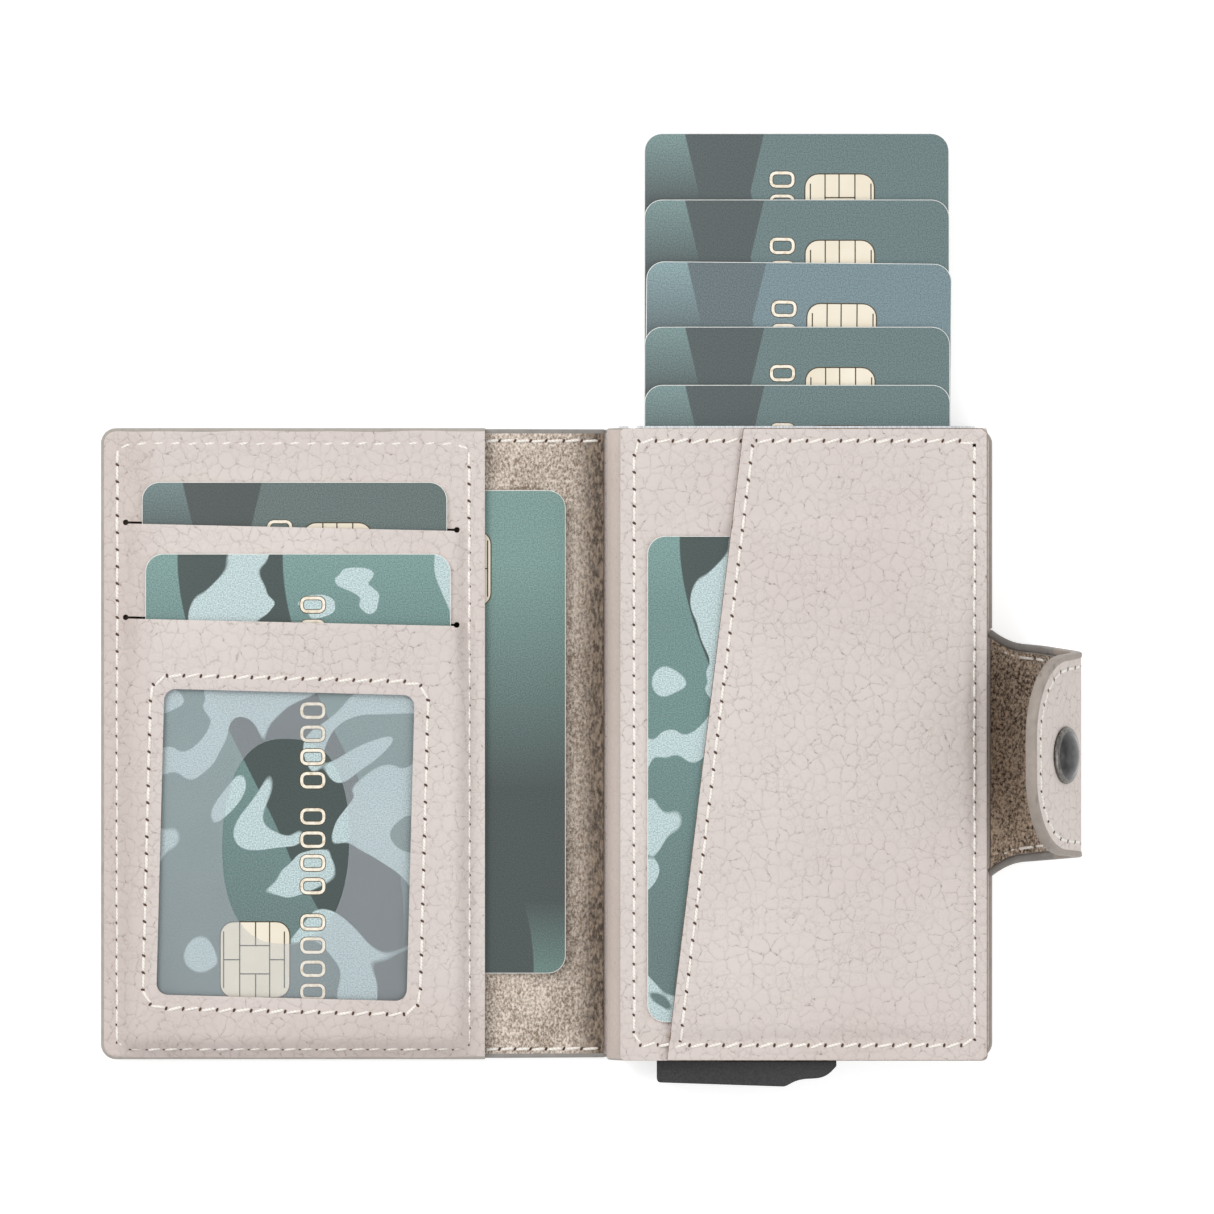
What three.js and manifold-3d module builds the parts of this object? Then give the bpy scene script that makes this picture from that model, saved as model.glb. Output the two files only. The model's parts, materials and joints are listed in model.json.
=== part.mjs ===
// Pop-up card holder: a leather wallet whose metal case fans out five cards when its lever is pressed.
// It lies open, with the card case on the right, the front cover on the left and the strap half raised.
// Millimetres, +Z up. The origin is the centre of the card case's underside; the card mouth faces +Y.

import * as THREE from 'three';
import { mergeVertices } from 'three/addons/utils/BufferGeometryUtils.js';
import Module from 'manifold-3d';

const wasm = await Module();
wasm.setup();

// Sizes of a bank card
const cardWide = 53.98;
const cardTall = 85.6;
const cardThick = 0.76;
const cardCorner = 3.18;

// Leather, lining and thin sheets
const leatherThick = 1.1;
const liningThick = 0.45;
const panelThick = 0.6;
const backingThick = 0.3;
const filmThick = 0.15;
const layerGap = 0.05;
const foldGap = 0.15;
const cornerRadius = 2.5;

// Card case, the block on the right
const leverRoom = 23.15;
const mouthMargin = 2.75;
const cardSideClear = 0.61;
const gripThick = 3.05;
const wrapTop = 0.8;
const wrapSide = 2.05;
const wrapRadius = 4.4;
const caseWall = 0.8;
const caseInnerHigh = 6;
const caseProud = 0.4;
const caseRecess = 1;
const cardCount = 5;
const cardPitch = 1.15;
const cardFloorGap = 0.32;
const topPanelThick = 0.7;
const strapShoulder = 1;
const spineShoulder = 2.3;
const pocketLeather = 0.8;
const pocketHem = 4;
const pocketEdgeTopX = -9.6;
const pocketEdgeLowX = -23.1;
const pocketCardShift = 0.49;
const pocketCardUp = 6.85;
const gripDown = 1.75;
const gripTall = 34;

// How far the fanned cards stand out of the leather, nearest to the viewer first
const fanOut = [7.65, 17.95, 29.35, 40.55, 52.35];
const fanCardLean = 0.5;

// Eject lever
const pivotIn = 4.99;
const pivotUp = 9.75;
const pinRadius = 1.5;
const pinFit = 0.08;
const hubRadius = 4;
const armLengths = [24, 30, 36, 42, 47];
const armTipRadius = 2;
const leverSwing = 20;
const leverClearance = 0.3;
const leverSideGap = 0.1;
const barLeft = -2.8;
const barRight = 28.9;
const barDepth = 4.6;
const barSlope = 0.9;
const barCorner = 0.8;
const barHigh = 4.8;
const barThin = 1.6;
const barHookLong = 9;
const neckLeft = -2.2;
const neckRight = 8.5;
const insertDepth = 5;
const openingLeft = -7.4;
const openingRight = 10.5;

// Front cover
const coverPadClear = 0.35;
const cardGap = 0.1;
const slotPlay = 0.09;
const slitStart = 4.3;
const slitSpare = 4.62;
const slitMargin = 6.3;
const slitWide = 0.6;
const slitHole = 0.55;
const slitTilt = 1.3;
const upperSlitDown = 17.25;
const lowerSlitDown = 34.05;
const upperCardX = 7.2;
const upperCardShows = 7.8;
const lowerCardX = 7.9;
const lowerCardShows = 11.9;
const sideCardOut = 14.3;
const sideCardUp = 15.05;
const windowLeft = 10.6;
const windowNarrower = 9.78;
const windowShorter = 31.6;
const windowDown = 12.5;
const windowRadius = 2;
const windowTilt = 1.5;
const filmMargin = 3.2;
const thumbHoleSide = 10.9;
const thumbHoleDown = 8.3;
const thumbHoleUp = 9.5;
const panelMargin = 4;
const panelRise = 2.8;
const panelRightMargin = 3;
const panelRightRise = 2.6;
const panelLowHem = 1.5;
const panelLowRamp = 1.9;
const backingRim = 3;

// Closing strap and its snap
const strapCentreY = -1.7;
const strapRootWide = 38.7;
const strapTipWide = 32.5;
const strapFlare = 1.5;
const strapFlareLong = 5;
const strapTipRadius = 13;
const strapTipLong = 20.5;
const strapRootLong = 7;
const strapMidRise = 65;
const strapTipRise = 118;
const jacketProud = 0.9;
const snapAlong = 8;
const capRadius = 4.95;
const capHigh = 1.9;
const capRim = 0.5;
const snapPost = 1.1;
const snapHoleFit = 0.15;
const socketRadius = 4;
const socketThick = 1.6;
const socketRoof = 0.3;
const studFlange = 0.4;
const studFlangeRadius = 3.6;
const studHeadRadius = 1.9;
const studNeckRadius = 1.4;
const studHeadHigh = 1.1;
const washerThick = 0.4;
const washerRadius = 3.2;
const snapPlay = 0.12;

const arcSteps = 8;
const roundSteps = 32;
const overrun = 5;

// Widths and lengths worked out from the card and the room around it
const blockTall = cardTall + mouthMargin + leverRoom;
const halfTall = blockTall / 2;
const halfLeather = leatherThick / 2;
const gripReach = cardWide / 2 + cardSideClear;
const caseInnerHalf = gripReach + gripThick + layerGap;
const caseHalfWide = caseInnerHalf + caseWall;
const blockHalfWide = caseHalfWide + layerGap + wrapSide;
const topPanelLeft = spineShoulder - blockHalfWide;
const topPanelRight = blockHalfWide - strapShoulder;
const strapEdge = blockHalfWide + jacketProud;
const cardsInTop = halfTall - mouthMargin;
const pivotX = pivotIn - cardWide / 2;
const pivotY = pivotUp - halfTall;
const upperSlitY = halfTall - upperSlitDown;
const lowerSlitY = halfTall - lowerSlitDown;
const slitEnd = slitStart + cardWide + slitSpare;
const coverLong = slitEnd + slitMargin;
const windowWide = cardWide - windowNarrower;
const windowTall = cardTall - windowShorter;
const windowTop = lowerSlitY - windowDown;

// Heights worked out from the layers, from the ground up
const wrapLow = leatherThick + layerGap;
const caseLow = wrapLow + wrapTop + layerGap;
const caseFloor = caseLow + caseWall;
const caseCeiling = caseFloor + caseInnerHigh;
const caseTop = caseCeiling + caseWall;
const wrapHigh = caseTop + layerGap + wrapTop;
const topPanelLow = wrapHigh + layerGap;
const topPanelHigh = topPanelLow + topPanelThick;
const pocketCardZ = topPanelHigh + cardGap;
const pocketLow = pocketCardZ + cardThick + cardGap;
const blockHigh = pocketLow + pocketLeather;

// Heights in the front cover, from its outer face
const liningLow = leatherThick + layerGap;
const liningHigh = liningLow + liningThick;
const sideCardLow = liningHigh + cardGap;
const backingLow = sideCardLow + cardThick + slotPlay;
const backingHigh = backingLow + backingThick;
const marginLow = backingHigh + layerGap;
const upperCardLow = marginLow + panelThick + cardGap;
const middleLow = upperCardLow + cardThick + slotPlay;
const lowerCardLow = middleLow + panelThick + cardGap;
const filmLow = lowerCardLow + cardThick + layerGap;
const panelLow = filmLow + filmThick + layerGap;
const coverHigh = panelLow + panelThick;

// Folds: the spine is as long as the closed wallet is high between the leather's middle planes
const liningReach = liningHigh - halfLeather;
const foldX = -(blockHalfWide + liningReach + leverClearance);
const spineLong = blockHigh + coverPadClear + coverHigh - leatherThick;
const studRise = studFlange + studHeadHigh;
const coverLift = studRise + layerGap;
const spineLean = Math.asin(coverLift / spineLong);
const coverFoldX = foldX - spineLong * Math.cos(spineLean);
const coverFree = coverFoldX - coverLong;
const panelRight = coverFoldX - liningReach - leverClearance;
const strapFoldX = strapEdge + liningReach;
const closedCoverTop = blockHigh + coverPadClear + coverHigh;
const strapClosedInner = closedCoverTop + studFlange + snapPlay + socketThick + layerGap;
const strapMidLong = strapClosedInner + liningReach - halfLeather - strapRootLong;
const snapX = coverFoldX + foldX - (strapFoldX - snapAlong);

const rad = THREE.MathUtils.degToRad;

// Closed geometry to solid and back, for cuts and joins
function solid(geometry) {
  const bare = geometry.clone();
  bare.deleteAttribute('normal');
  bare.deleteAttribute('uv');
  const merged = mergeVertices(bare);
  const mesh = new wasm.Mesh({
    numProp: 3,
    vertProperties: new Float32Array(merged.attributes.position.array),
    triVerts: new Uint32Array(merged.index.array),
  });
  return new wasm.Manifold(mesh);
}

function geometryOf(body) {
  const mesh = body.getMesh();
  const geometry = new THREE.BufferGeometry();
  geometry.setAttribute('position', new THREE.BufferAttribute(new Float32Array(mesh.vertProperties), 3));
  geometry.setIndex(new THREE.BufferAttribute(new Uint32Array(mesh.triVerts), 1));
  geometry.computeVertexNormals();
  return geometry;
}

function cut(geometry, ...tools) {
  let body = solid(geometry);
  for (const tool of tools) {
    body = body.subtract(solid(tool));
  }
  return geometryOf(body);
}

function join(...geometries) {
  let body = solid(geometries[0]);
  for (const geometry of geometries.slice(1)) {
    body = body.add(solid(geometry));
  }
  return geometryOf(body);
}

function common(first, second) {
  return geometryOf(solid(first).intersect(solid(second)));
}

// Outlines
function roundedRect(left, low, right, high, radius) {
  const shape = new THREE.Shape();
  shape.moveTo(left + radius, low);
  shape.lineTo(right - radius, low);
  shape.absarc(right - radius, low + radius, radius, -Math.PI / 2, 0);
  shape.lineTo(right, high - radius);
  shape.absarc(right - radius, high - radius, radius, 0, Math.PI / 2);
  shape.lineTo(left + radius, high);
  shape.absarc(left + radius, high - radius, radius, Math.PI / 2, Math.PI);
  shape.lineTo(left, low + radius);
  shape.absarc(left + radius, low + radius, radius, Math.PI, Math.PI * 3 / 2);
  return shape;
}

function polygon(points) {
  return new THREE.Shape(points.map(([x, y]) => new THREE.Vector2(x, y)));
}

// A flat piece with the outline in X and Y, between two heights
function plate(shape, low, high, steps = arcSteps) {
  const depth = high - low;
  const geometry = new THREE.ExtrudeGeometry(shape, { depth, bevelEnabled: false, curveSegments: steps });
  return geometry.translate(0, 0, low);
}

// A piece with the outline in X and Z, run along Y between two places
function run(shape, from, to, steps = arcSteps) {
  return plate(shape, -to, -from, steps).rotateX(Math.PI / 2);
}

function box(left, low, bottom, right, high, top) {
  const geometry = new THREE.BoxGeometry(right - left, high - low, top - bottom);
  return geometry.translate((left + right) / 2, (low + high) / 2, (bottom + top) / 2);
}

function disc(x, y, radius, low, high, steps = roundSteps) {
  const geometry = new THREE.CylinderGeometry(radius, radius, high - low, steps);
  return geometry.rotateX(Math.PI / 2).translate(x, y, (low + high) / 2);
}

function turned(points) {
  const profile = points.map(([radius, height]) => new THREE.Vector2(radius, height));
  return new THREE.LatheGeometry(profile, roundSteps).rotateX(Math.PI / 2);
}

// Finishes
const finishes = {
  leather: { color: 0xddd5d2, roughness: 0.6, metalness: 0 },
  suede: { color: 0xa8937e, roughness: 0.95, metalness: 0 },
  aluminium: { color: 0xc9cccf, roughness: 0.35, metalness: 1 },
  blackPlastic: { color: 0x3a3a3c, roughness: 0.5, metalness: 0 },
  steel: { color: 0xb0b0b0, roughness: 0.3, metalness: 1 },
  gunmetal: { color: 0x4a4744, roughness: 0.3, metalness: 1 },
  felt: { color: 0x4b4b4d, roughness: 1, metalness: 0 },
  film: { color: 0xe4e6e4, roughness: 0.4, metalness: 0, transparent: true, opacity: 0.5 },
  tealCard: { color: 0x5f7f7b, roughness: 0.4, metalness: 0 },
  blueCard: { color: 0x4e6f80, roughness: 0.4, metalness: 0 },
};

const holder = new THREE.Group();
const coverGroup = new THREE.Group();
coverGroup.position.z = coverLift;
const spineGroup = new THREE.Group();
const strapRootGroup = new THREE.Group();
const strapMidGroup = new THREE.Group();
const strapTipGroup = new THREE.Group();
holder.add(coverGroup, spineGroup, strapRootGroup);
strapRootGroup.add(strapMidGroup);
strapMidGroup.add(strapTipGroup);

function addPiece(name, finish, geometry, parent = holder) {
  const mesh = new THREE.Mesh(geometry, new THREE.MeshStandardMaterial(finishes[finish]));
  mesh.name = name;
  parent.add(mesh);
  return mesh;
}

// A bank card about its own centre
function cardGeometry() {
  const outline = roundedRect(-cardWide / 2, -cardTall / 2, cardWide / 2, cardTall / 2, cardCorner);
  return plate(outline, 0, cardThick, 4);
}

function addCard(name, finish, x, y, z, lean, parent = holder) {
  const card = addPiece(name, finish, cardGeometry(), parent);
  card.position.set(x, y, z);
  card.rotation.z = -rad(lean);
  return card;
}

// Jacket back under the card case, with the flared tab where the strap starts
function strapHalfWide(along) {
  const flare = Math.max(0, 1 - along / strapFlareLong);
  const taper = (strapRootWide - strapTipWide) / (strapRootLong + strapMidLong + strapTipLong);
  return (strapRootWide - taper * along) / 2 + strapFlare * flare * flare;
}

// What a fold needs cut from the inner half of the leather that ends at it, on the side given as 1 or -1
function foldMitre(fold, side) {
  const edge = fold - side * foldGap;
  const high = leatherThick + overrun;
  const rise = high - halfLeather;
  const points = [[edge, halfLeather], [edge, high], [edge - side * rise, high]];
  return run(polygon(side > 0 ? points : points.reverse()), -blockTall, blockTall);
}

function jacketBack() {
  const left = foldX + foldGap;
  const body = roundedRect(left - cornerRadius, -halfTall, strapEdge, halfTall, cornerRadius);
  const trim = box(left - overrun, -blockTall, -overrun, left, blockTall, overrun);
  const rootHalf = strapHalfWide(0);
  const tabEnd = strapFoldX - foldGap;
  const tab = box(0, strapCentreY - rootHalf, 0, tabEnd, strapCentreY + rootHalf, leatherThick);
  return cut(join(plate(body, 0, leatherThick), tab), trim, foldMitre(foldX, -1), foldMitre(strapFoldX, 1));
}

// A length of sheet between two folds, in its own frame: X along it from its first fold, Z towards the
// inner side, zero at the leather's middle plane. Ends are mitred by half the angle that each fold reaches.
function foldedSheet(long, low, high, startMitre, endMitre) {
  const end = (height, mitre) => foldGap + Math.max(height, 0) * Math.tan(mitre);
  const heights = low < 0 ? [low, 0, high] : [low, high];
  const starts = heights.map((height) => [end(height, startMitre), height]);
  const ends = heights.map((height) => [long - end(height, endMitre), height]);
  return polygon([...ends, ...starts.reverse()]);
}

const leatherBand = [-halfLeather, halfLeather];
const liningBand = [halfLeather + layerGap, liningReach];
const quarterMitre = rad(45);

function addSpine() {
  spineGroup.position.set(foldX, 0, halfLeather);
  spineGroup.rotation.set(0, spineLean, Math.PI);
  for (const [name, finish, band] of [
    ['spine_leather', 'leather', leatherBand],
    ['spine_lining', 'suede', liningBand],
  ]) {
    const section = foldedSheet(spineLong, ...band, quarterMitre, quarterMitre);
    addPiece(name, finish, run(section, -halfTall, halfTall), spineGroup);
  }
}

// Card case: leather wrap, metal case, base insert, grips, top panel and diagonal pocket
function ring(halfWide, low, high, radius, innerHalf, innerLow, innerTop, innerRadius, from, to) {
  const outer = run(roundedRect(-halfWide, low, halfWide, high, radius), from, to);
  const inner = roundedRect(-innerHalf, innerLow, innerHalf, innerTop, innerRadius);
  return cut(outer, run(inner, from - overrun, to + overrun));
}

const caseRadius = wrapRadius - wrapTop;
const caseBottomY = -halfTall + caseRecess;
const caseMouthY = halfTall + caseProud;

function addCardCase() {
  addPiece('jacket_back', 'leather', jacketBack());

  const wrapInner = blockHalfWide - wrapSide;
  addPiece('case_wrap', 'leather', ring(
    blockHalfWide, wrapLow, wrapHigh, wrapRadius,
    wrapInner, wrapLow + wrapTop, wrapHigh - wrapTop, caseRadius, -halfTall, halfTall,
  ));

  const shell = ring(
    caseHalfWide, caseLow, caseTop, caseRadius,
    caseInnerHalf, caseFloor, caseCeiling, caseRadius - caseWall, caseBottomY, caseMouthY,
  );
  const pinHole = disc(pivotX, pivotY, pinRadius + pinFit, caseLow - overrun, caseTop + overrun);
  addPiece('card_case', 'aluminium', cut(shell, pinHole));
  addPiece('pivot_pin', 'steel', disc(pivotX, pivotY, pinRadius, caseLow, caseTop));

  const insertSection = roundedRect(
    -caseInnerHalf + layerGap, caseFloor + layerGap,
    caseInnerHalf - layerGap, caseCeiling - layerGap, caseRadius - caseWall,
  );
  const insert = run(insertSection, caseBottomY, caseBottomY + insertDepth);
  const openingStart = pivotX + openingLeft;
  const openingStop = pivotX + openingRight;
  addPiece('base_stop', 'blackPlastic', cut(insert,
    box(openingStart, -blockTall, 0, blockTall, blockTall, caseTop)));
  addPiece('base_insert', 'blackPlastic', cut(insert,
    box(-blockTall, -blockTall, 0, openingStop, blockTall, caseTop)));

  const gripTop = halfTall - gripDown;
  const gripBar = run(insertSection, gripTop - gripTall, gripTop);
  const between = box(-gripReach, -blockTall, 0, gripReach, blockTall, caseTop);
  for (const [name, side] of [['card_grip_left', -1], ['card_grip_right', 1]]) {
    const far = side * blockHalfWide;
    const half = box(Math.min(0, far), -blockTall, 0, Math.max(0, far), blockTall, caseTop);
    addPiece(name, 'felt', common(cut(gripBar, between), half));
  }

  const panel = roundedRect(topPanelLeft, -halfTall, topPanelRight, halfTall, cornerRadius);
  addPiece('top_panel', 'leather', plate(panel, topPanelLow, topPanelHigh));
  addPiece('diagonal_pocket', 'leather', diagonalPocket());
  addCard('block_pocket_card', 'tealCard',
    pocketCardShift, pocketCardUp - halfTall + cardTall / 2, pocketCardZ, 0);
}

function diagonalPocket() {
  const right = topPanelRight;
  const outline = common(
    plate(
      roundedRect(-right, -halfTall, right, halfTall, cornerRadius),
      topPanelHigh + layerGap, blockHigh,
    ),
    plate(
      polygon([
        [pocketEdgeLowX, -halfTall], [right, -halfTall], [right, halfTall], [pocketEdgeTopX, halfTall],
      ]),
      0, blockHigh + overrun,
    ),
  );
  const inner = right - pocketHem;
  const reach = halfTall - pocketHem;
  return cut(outline, box(-blockTall, -reach, 0, inner, reach, pocketLow));
}

// The lever: hub, five stacked arms of stepped length, and the thumb bar outside the case
const cardLevels = Array.from({ length: cardCount }, (_, index) => {
  const below = cardCount - 1 - index;
  return caseFloor + cardFloorGap + below * cardPitch;
});
const armsLow = caseFloor + leverSideGap;
const armHigh = (caseInnerHigh - 2 * leverSideGap) / cardCount;

function armOutline(length, angle) {
  const tip = new THREE.Vector2(length * Math.cos(angle), length * Math.sin(angle));
  const side = new THREE.Vector2(-Math.sin(angle), Math.cos(angle));
  const shape = new THREE.Shape();
  shape.moveTo(-side.x * hubRadius, -side.y * hubRadius);
  shape.lineTo(tip.x - side.x * armTipRadius, tip.y - side.y * armTipRadius);
  shape.absarc(tip.x, tip.y, armTipRadius, angle - Math.PI / 2, angle + Math.PI / 2);
  shape.lineTo(side.x * hubRadius, side.y * hubRadius);
  return shape;
}

function thumbBar() {
  const top = -halfTall - leverClearance - pivotY;
  const low = top - barDepth;
  const left = barLeft;
  const right = barRight;
  const hook = right - barHookLong;
  const shape = new THREE.Shape();
  shape.moveTo(left, top);
  shape.lineTo(left, low + barSlope + barCorner);
  shape.quadraticCurveTo(left, low + barSlope, left + barCorner, low + barSlope);
  shape.lineTo(hook - barCorner, low + barCorner / 4);
  shape.bezierCurveTo(hook + barCorner, low, hook + barCorner, low + barThin, hook + 3 * barThin, low + barThin);
  shape.bezierCurveTo(right - barThin, low + barThin, right - barCorner, top - barThin, right, top - barCorner);
  shape.lineTo(right, top);
  return shape;
}

function addLever() {
  const parts = [disc(0, 0, hubRadius, armsLow, armsLow + cardCount * armHigh)];
  const tipIn = cardsInTop - cardTall - leverClearance - armTipRadius - pivotY;
  armLengths.forEach((length, index) => {
    const low = armsLow + (cardCount - 1 - index) * armHigh;
    const angle = Math.asin(tipIn / length) + rad(leverSwing);
    parts.push(plate(armOutline(length, angle), low, low + armHigh));
  });
  const barLow = (caseFloor + caseCeiling - barHigh) / 2;
  const neckLow = -halfTall - leverClearance - pivotY - barThin;
  parts.push(box(neckLeft, neckLow, barLow, neckRight, 0, barLow + barHigh));
  parts.push(plate(thumbBar(), barLow, barLow + barHigh));
  const bore = disc(0, 0, pinRadius + pinFit, caseLow, caseTop);
  const lever = addPiece('eject_lever', 'blackPlastic', cut(join(...parts), bore));
  lever.position.set(pivotX, pivotY, 0);
}

function addFannedCards() {
  fanOut.forEach((out, index) => {
    const lean = index === 2 ? fanCardLean : 0;
    const finish = index === 2 ? 'blueCard' : 'tealCard';
    addCard(`popup_card_${index + 1}`, finish, 0, halfTall + out - cardTall / 2, cardLevels[index], lean);
  });
}

// Front cover
const tiltRise = (x, tilt) => -Math.tan(rad(tilt)) * (x - (slitStart + slitEnd) / 2);

function coverPlate(low, high, right) {
  const outline = roundedRect(coverFree, -halfTall, right + 2 * cornerRadius, halfTall, cornerRadius);
  const trim = box(right, -blockTall, low - overrun, right + 2 * overrun, blockTall, high + overrun);
  return cut(plate(outline, low, high), trim);
}

// One sheet of leather over the cards: each stretch between slits lies a card and a leather higher.
function pocketPanel() {
  const wide = panelRight - coverFree;
  const rightRise = wide - panelRightMargin - panelRightRise;
  const columns = [0, panelMargin, panelMargin + panelRise, rightRise, wide - panelRightMargin, wide];
  const half = slitWide / 2;
  const hemTop = -halfTall + panelLowHem;
  const rows = [
    { y: -halfTall, level: marginLow, tilt: 0 },
    { y: hemTop, level: marginLow, tilt: 0 },
    { y: hemTop + panelLowRamp, level: panelLow, tilt: 0 },
    { y: lowerSlitY - half, level: panelLow, tilt: slitTilt },
    { y: lowerSlitY + half, level: middleLow, tilt: slitTilt },
    { y: upperSlitY - half, level: middleLow, tilt: slitTilt },
    { y: upperSlitY + half, level: marginLow, tilt: slitTilt },
    { y: halfTall, level: marginLow, tilt: 0 },
  ];
  const count = columns.length;
  const positions = [];
  for (const lift of [0, panelThick]) {
    for (const row of rows) {
      columns.forEach((x, column) => {
        const edge = column < 2 || column > count - 3;
        const y = row.tilt ? row.y + tiltRise(x, row.tilt) : row.y;
        positions.push(coverFree + x, y, (edge ? marginLow : row.level) + lift);
      });
    }
  }
  const faces = [];
  const layer = rows.length * count;
  const quad = (a, b, c, d) => faces.push(a, b, c, a, c, d);
  for (let row = 0; row < rows.length - 1; row += 1) {
    for (let column = 0; column < count - 1; column += 1) {
      const a = row * count + column;
      quad(a, a + count, a + count + 1, a + 1);
      quad(layer + a, layer + a + 1, layer + a + count + 1, layer + a + count);
    }
    const left = row * count;
    const right = left + count - 1;
    quad(left, layer + left, layer + left + count, left + count);
    quad(right, right + count, layer + right + count, layer + right);
  }
  for (let column = 0; column < count - 1; column += 1) {
    const low = column;
    const high = (rows.length - 1) * count + column;
    quad(low, low + 1, layer + low + 1, layer + low);
    quad(high, layer + high, layer + high + 1, high + 1);
  }
  const sheet = new THREE.BufferGeometry();
  sheet.setAttribute('position', new THREE.Float32BufferAttribute(positions, 3));
  sheet.setIndex(faces);

  const slit = (y) => {
    const middle = (slitStart + slitEnd) / 2;
    const reach = (slitEnd - slitStart) / 2;
    const line = box(-reach, -half, -overrun, reach, half, overrun + coverHigh);
    const ends = [-reach, reach].map((x) => disc(x, 0, slitHole, -overrun, overrun + coverHigh, 12));
    return join(line, ...ends).rotateZ(-rad(slitTilt)).translate(coverFree + middle, y, 0);
  };
  const opening = windowOutline(0);
  const window = plate(opening, marginLow - overrun, coverHigh + overrun).applyMatrix4(windowPlace());
  const corners = coverPlate(marginLow - overrun, coverHigh + overrun, panelRight);
  return common(cut(sheet, slit(upperSlitY), slit(lowerSlitY), window), corners);
}

function windowOutline(margin) {
  const halfWide = windowWide / 2 + margin;
  const halfHigh = windowTall / 2 + margin;
  return roundedRect(-halfWide, -halfHigh, halfWide, halfHigh, windowRadius + margin / 2);
}

function windowPlace() {
  const x = coverFree + windowLeft + windowWide / 2;
  const y = windowTop - windowTall / 2;
  return new THREE.Matrix4().makeTranslation(x, y, 0).multiply(
    new THREE.Matrix4().makeRotationZ(-rad(windowTilt)),
  );
}

function windowFilm() {
  const sheet = plate(windowOutline(filmMargin), filmLow, filmLow + filmThick);
  const hole = new THREE.CylinderGeometry(1, 1, overrun, roundSteps).rotateX(Math.PI / 2);
  const tall = windowTall - thumbHoleDown - thumbHoleUp;
  hole.scale(windowWide / 2 - thumbHoleSide, tall / 2, 1);
  hole.translate(0, (thumbHoleUp - thumbHoleDown) / 2, filmLow);
  return cut(sheet, hole).applyMatrix4(windowPlace());
}

function slotBacking() {
  const sheet = coverPlate(liningHigh + layerGap, backingHigh, panelRight);
  const left = coverFree + backingRim;
  const reach = halfTall - backingRim;
  const washerRoom = snapX + washerRadius + leverClearance;
  const pocket = box(washerRoom, -reach, 0, blockTall, reach, backingLow);
  const washerPocket = box(left, strapCentreY - reach / 2, 0, blockTall, strapCentreY + reach / 2, backingLow);
  return cut(sheet, pocket, washerPocket);
}

function addFrontCover() {
  const shankHole = disc(snapX, strapCentreY, snapPost + snapHoleFit, -overrun, overrun);
  const jacket = coverPlate(0, leatherThick, coverFoldX - foldGap);
  addPiece('jacket_front', 'leather', cut(jacket, shankHole, foldMitre(coverFoldX, 1)), coverGroup);
  const washerHole = disc(snapX, strapCentreY, washerRadius + snapHoleFit, 0, overrun);
  const liningRight = coverFoldX - liningReach - foldGap;
  const lining = cut(coverPlate(liningLow, liningHigh, liningRight), washerHole);
  addPiece('front_lining', 'suede', lining, coverGroup);
  addPiece('slot_backing', 'suede', slotBacking(), coverGroup);
  addPiece('pocket_panel', 'leather', pocketPanel(), coverGroup);
  addPiece('window_film', 'film', windowFilm(), coverGroup);

  const halfWide = cardWide / 2;
  const halfCard = cardTall / 2;
  addCard('slot_card_upper', 'tealCard', coverFree + upperCardX + halfWide, upperSlitY + upperCardShows - halfCard,
    upperCardLow, 0, coverGroup);
  addCard('slot_card_lower', 'tealCard', coverFree + lowerCardX + halfWide, lowerSlitY + lowerCardShows - halfCard,
    lowerCardLow, 0, coverGroup);
  addCard('side_pocket_card', 'tealCard', panelRight + sideCardOut - halfWide, sideCardUp - halfTall + halfCard,
    sideCardLow, 0, coverGroup);

  const washer = disc(0, 0, washerRadius, liningLow, liningLow + washerThick);
  const washerBore = disc(0, 0, snapPost + layerGap, 0, overrun);
  const washerPiece = addPiece('stud_washer', 'steel', cut(washer, washerBore), coverGroup);
  washerPiece.position.set(snapX, strapCentreY, 0);
  const stud = addPiece('snap_stud', 'gunmetal', snapStud(), coverGroup);
  stud.position.set(snapX, strapCentreY, 0);
}

// The stud: head below the cover's outer face, flange against it, shank up through leather and washer
function snapStud() {
  const flangeLow = -layerGap - studFlange;
  const headLow = flangeLow - studHeadHigh + layerGap;
  return turned([
    [0, headLow],
    [studHeadRadius - snapHoleFit, headLow],
    [studHeadRadius, headLow + studHeadHigh / 3],
    [studNeckRadius, flangeLow - studHeadHigh / 4],
    [studNeckRadius, flangeLow],
    [studFlangeRadius, flangeLow],
    [studFlangeRadius, -layerGap],
    [snapPost, -layerGap],
    [snapPost, liningLow + washerThick],
    [0, liningLow + washerThick],
  ]);
}

// Strap
function strapOutline(from, to, roundTip) {
  const whole = strapRootLong + strapMidLong + strapTipLong;
  const reach = roundTip ? whole : to;
  const steps = 6;
  const edge = Array.from({ length: steps + 1 }, (_, step) => {
    const along = from + (reach - from) * step / steps;
    return [along - from, strapHalfWide(along)];
  });
  const mirrored = edge.map(([x, y]) => [x, -y]).reverse();
  return polygon([...mirrored, ...edge]);
}

function strapPiece(from, to, band, startMitre, endMitre, hole) {
  const long = to - from;
  const atTip = endMitre === null;
  const section = foldedSheet(atTip ? long + foldGap : long, band[0], band[1], startMitre, atTip ? 0 : endMitre);
  const sheet = run(section, -blockTall, blockTall);
  let plan = plate(strapOutline(from, to, atTip), -overrun, overrun);
  if (atTip) {
    const round = roundedRect(-2 * strapTipRadius, -strapHalfWide(to), long, strapHalfWide(to), strapTipRadius);
    const tipBlock = plate(round, -overrun, overrun);
    const rest = plate(strapOutline(from, to - strapTipRadius, false), -overrun, overrun);
    plan = common(plan, join(tipBlock, rest));
  }
  const piece = common(sheet, plan);
  return hole ? cut(piece, hole) : piece;
}

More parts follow.
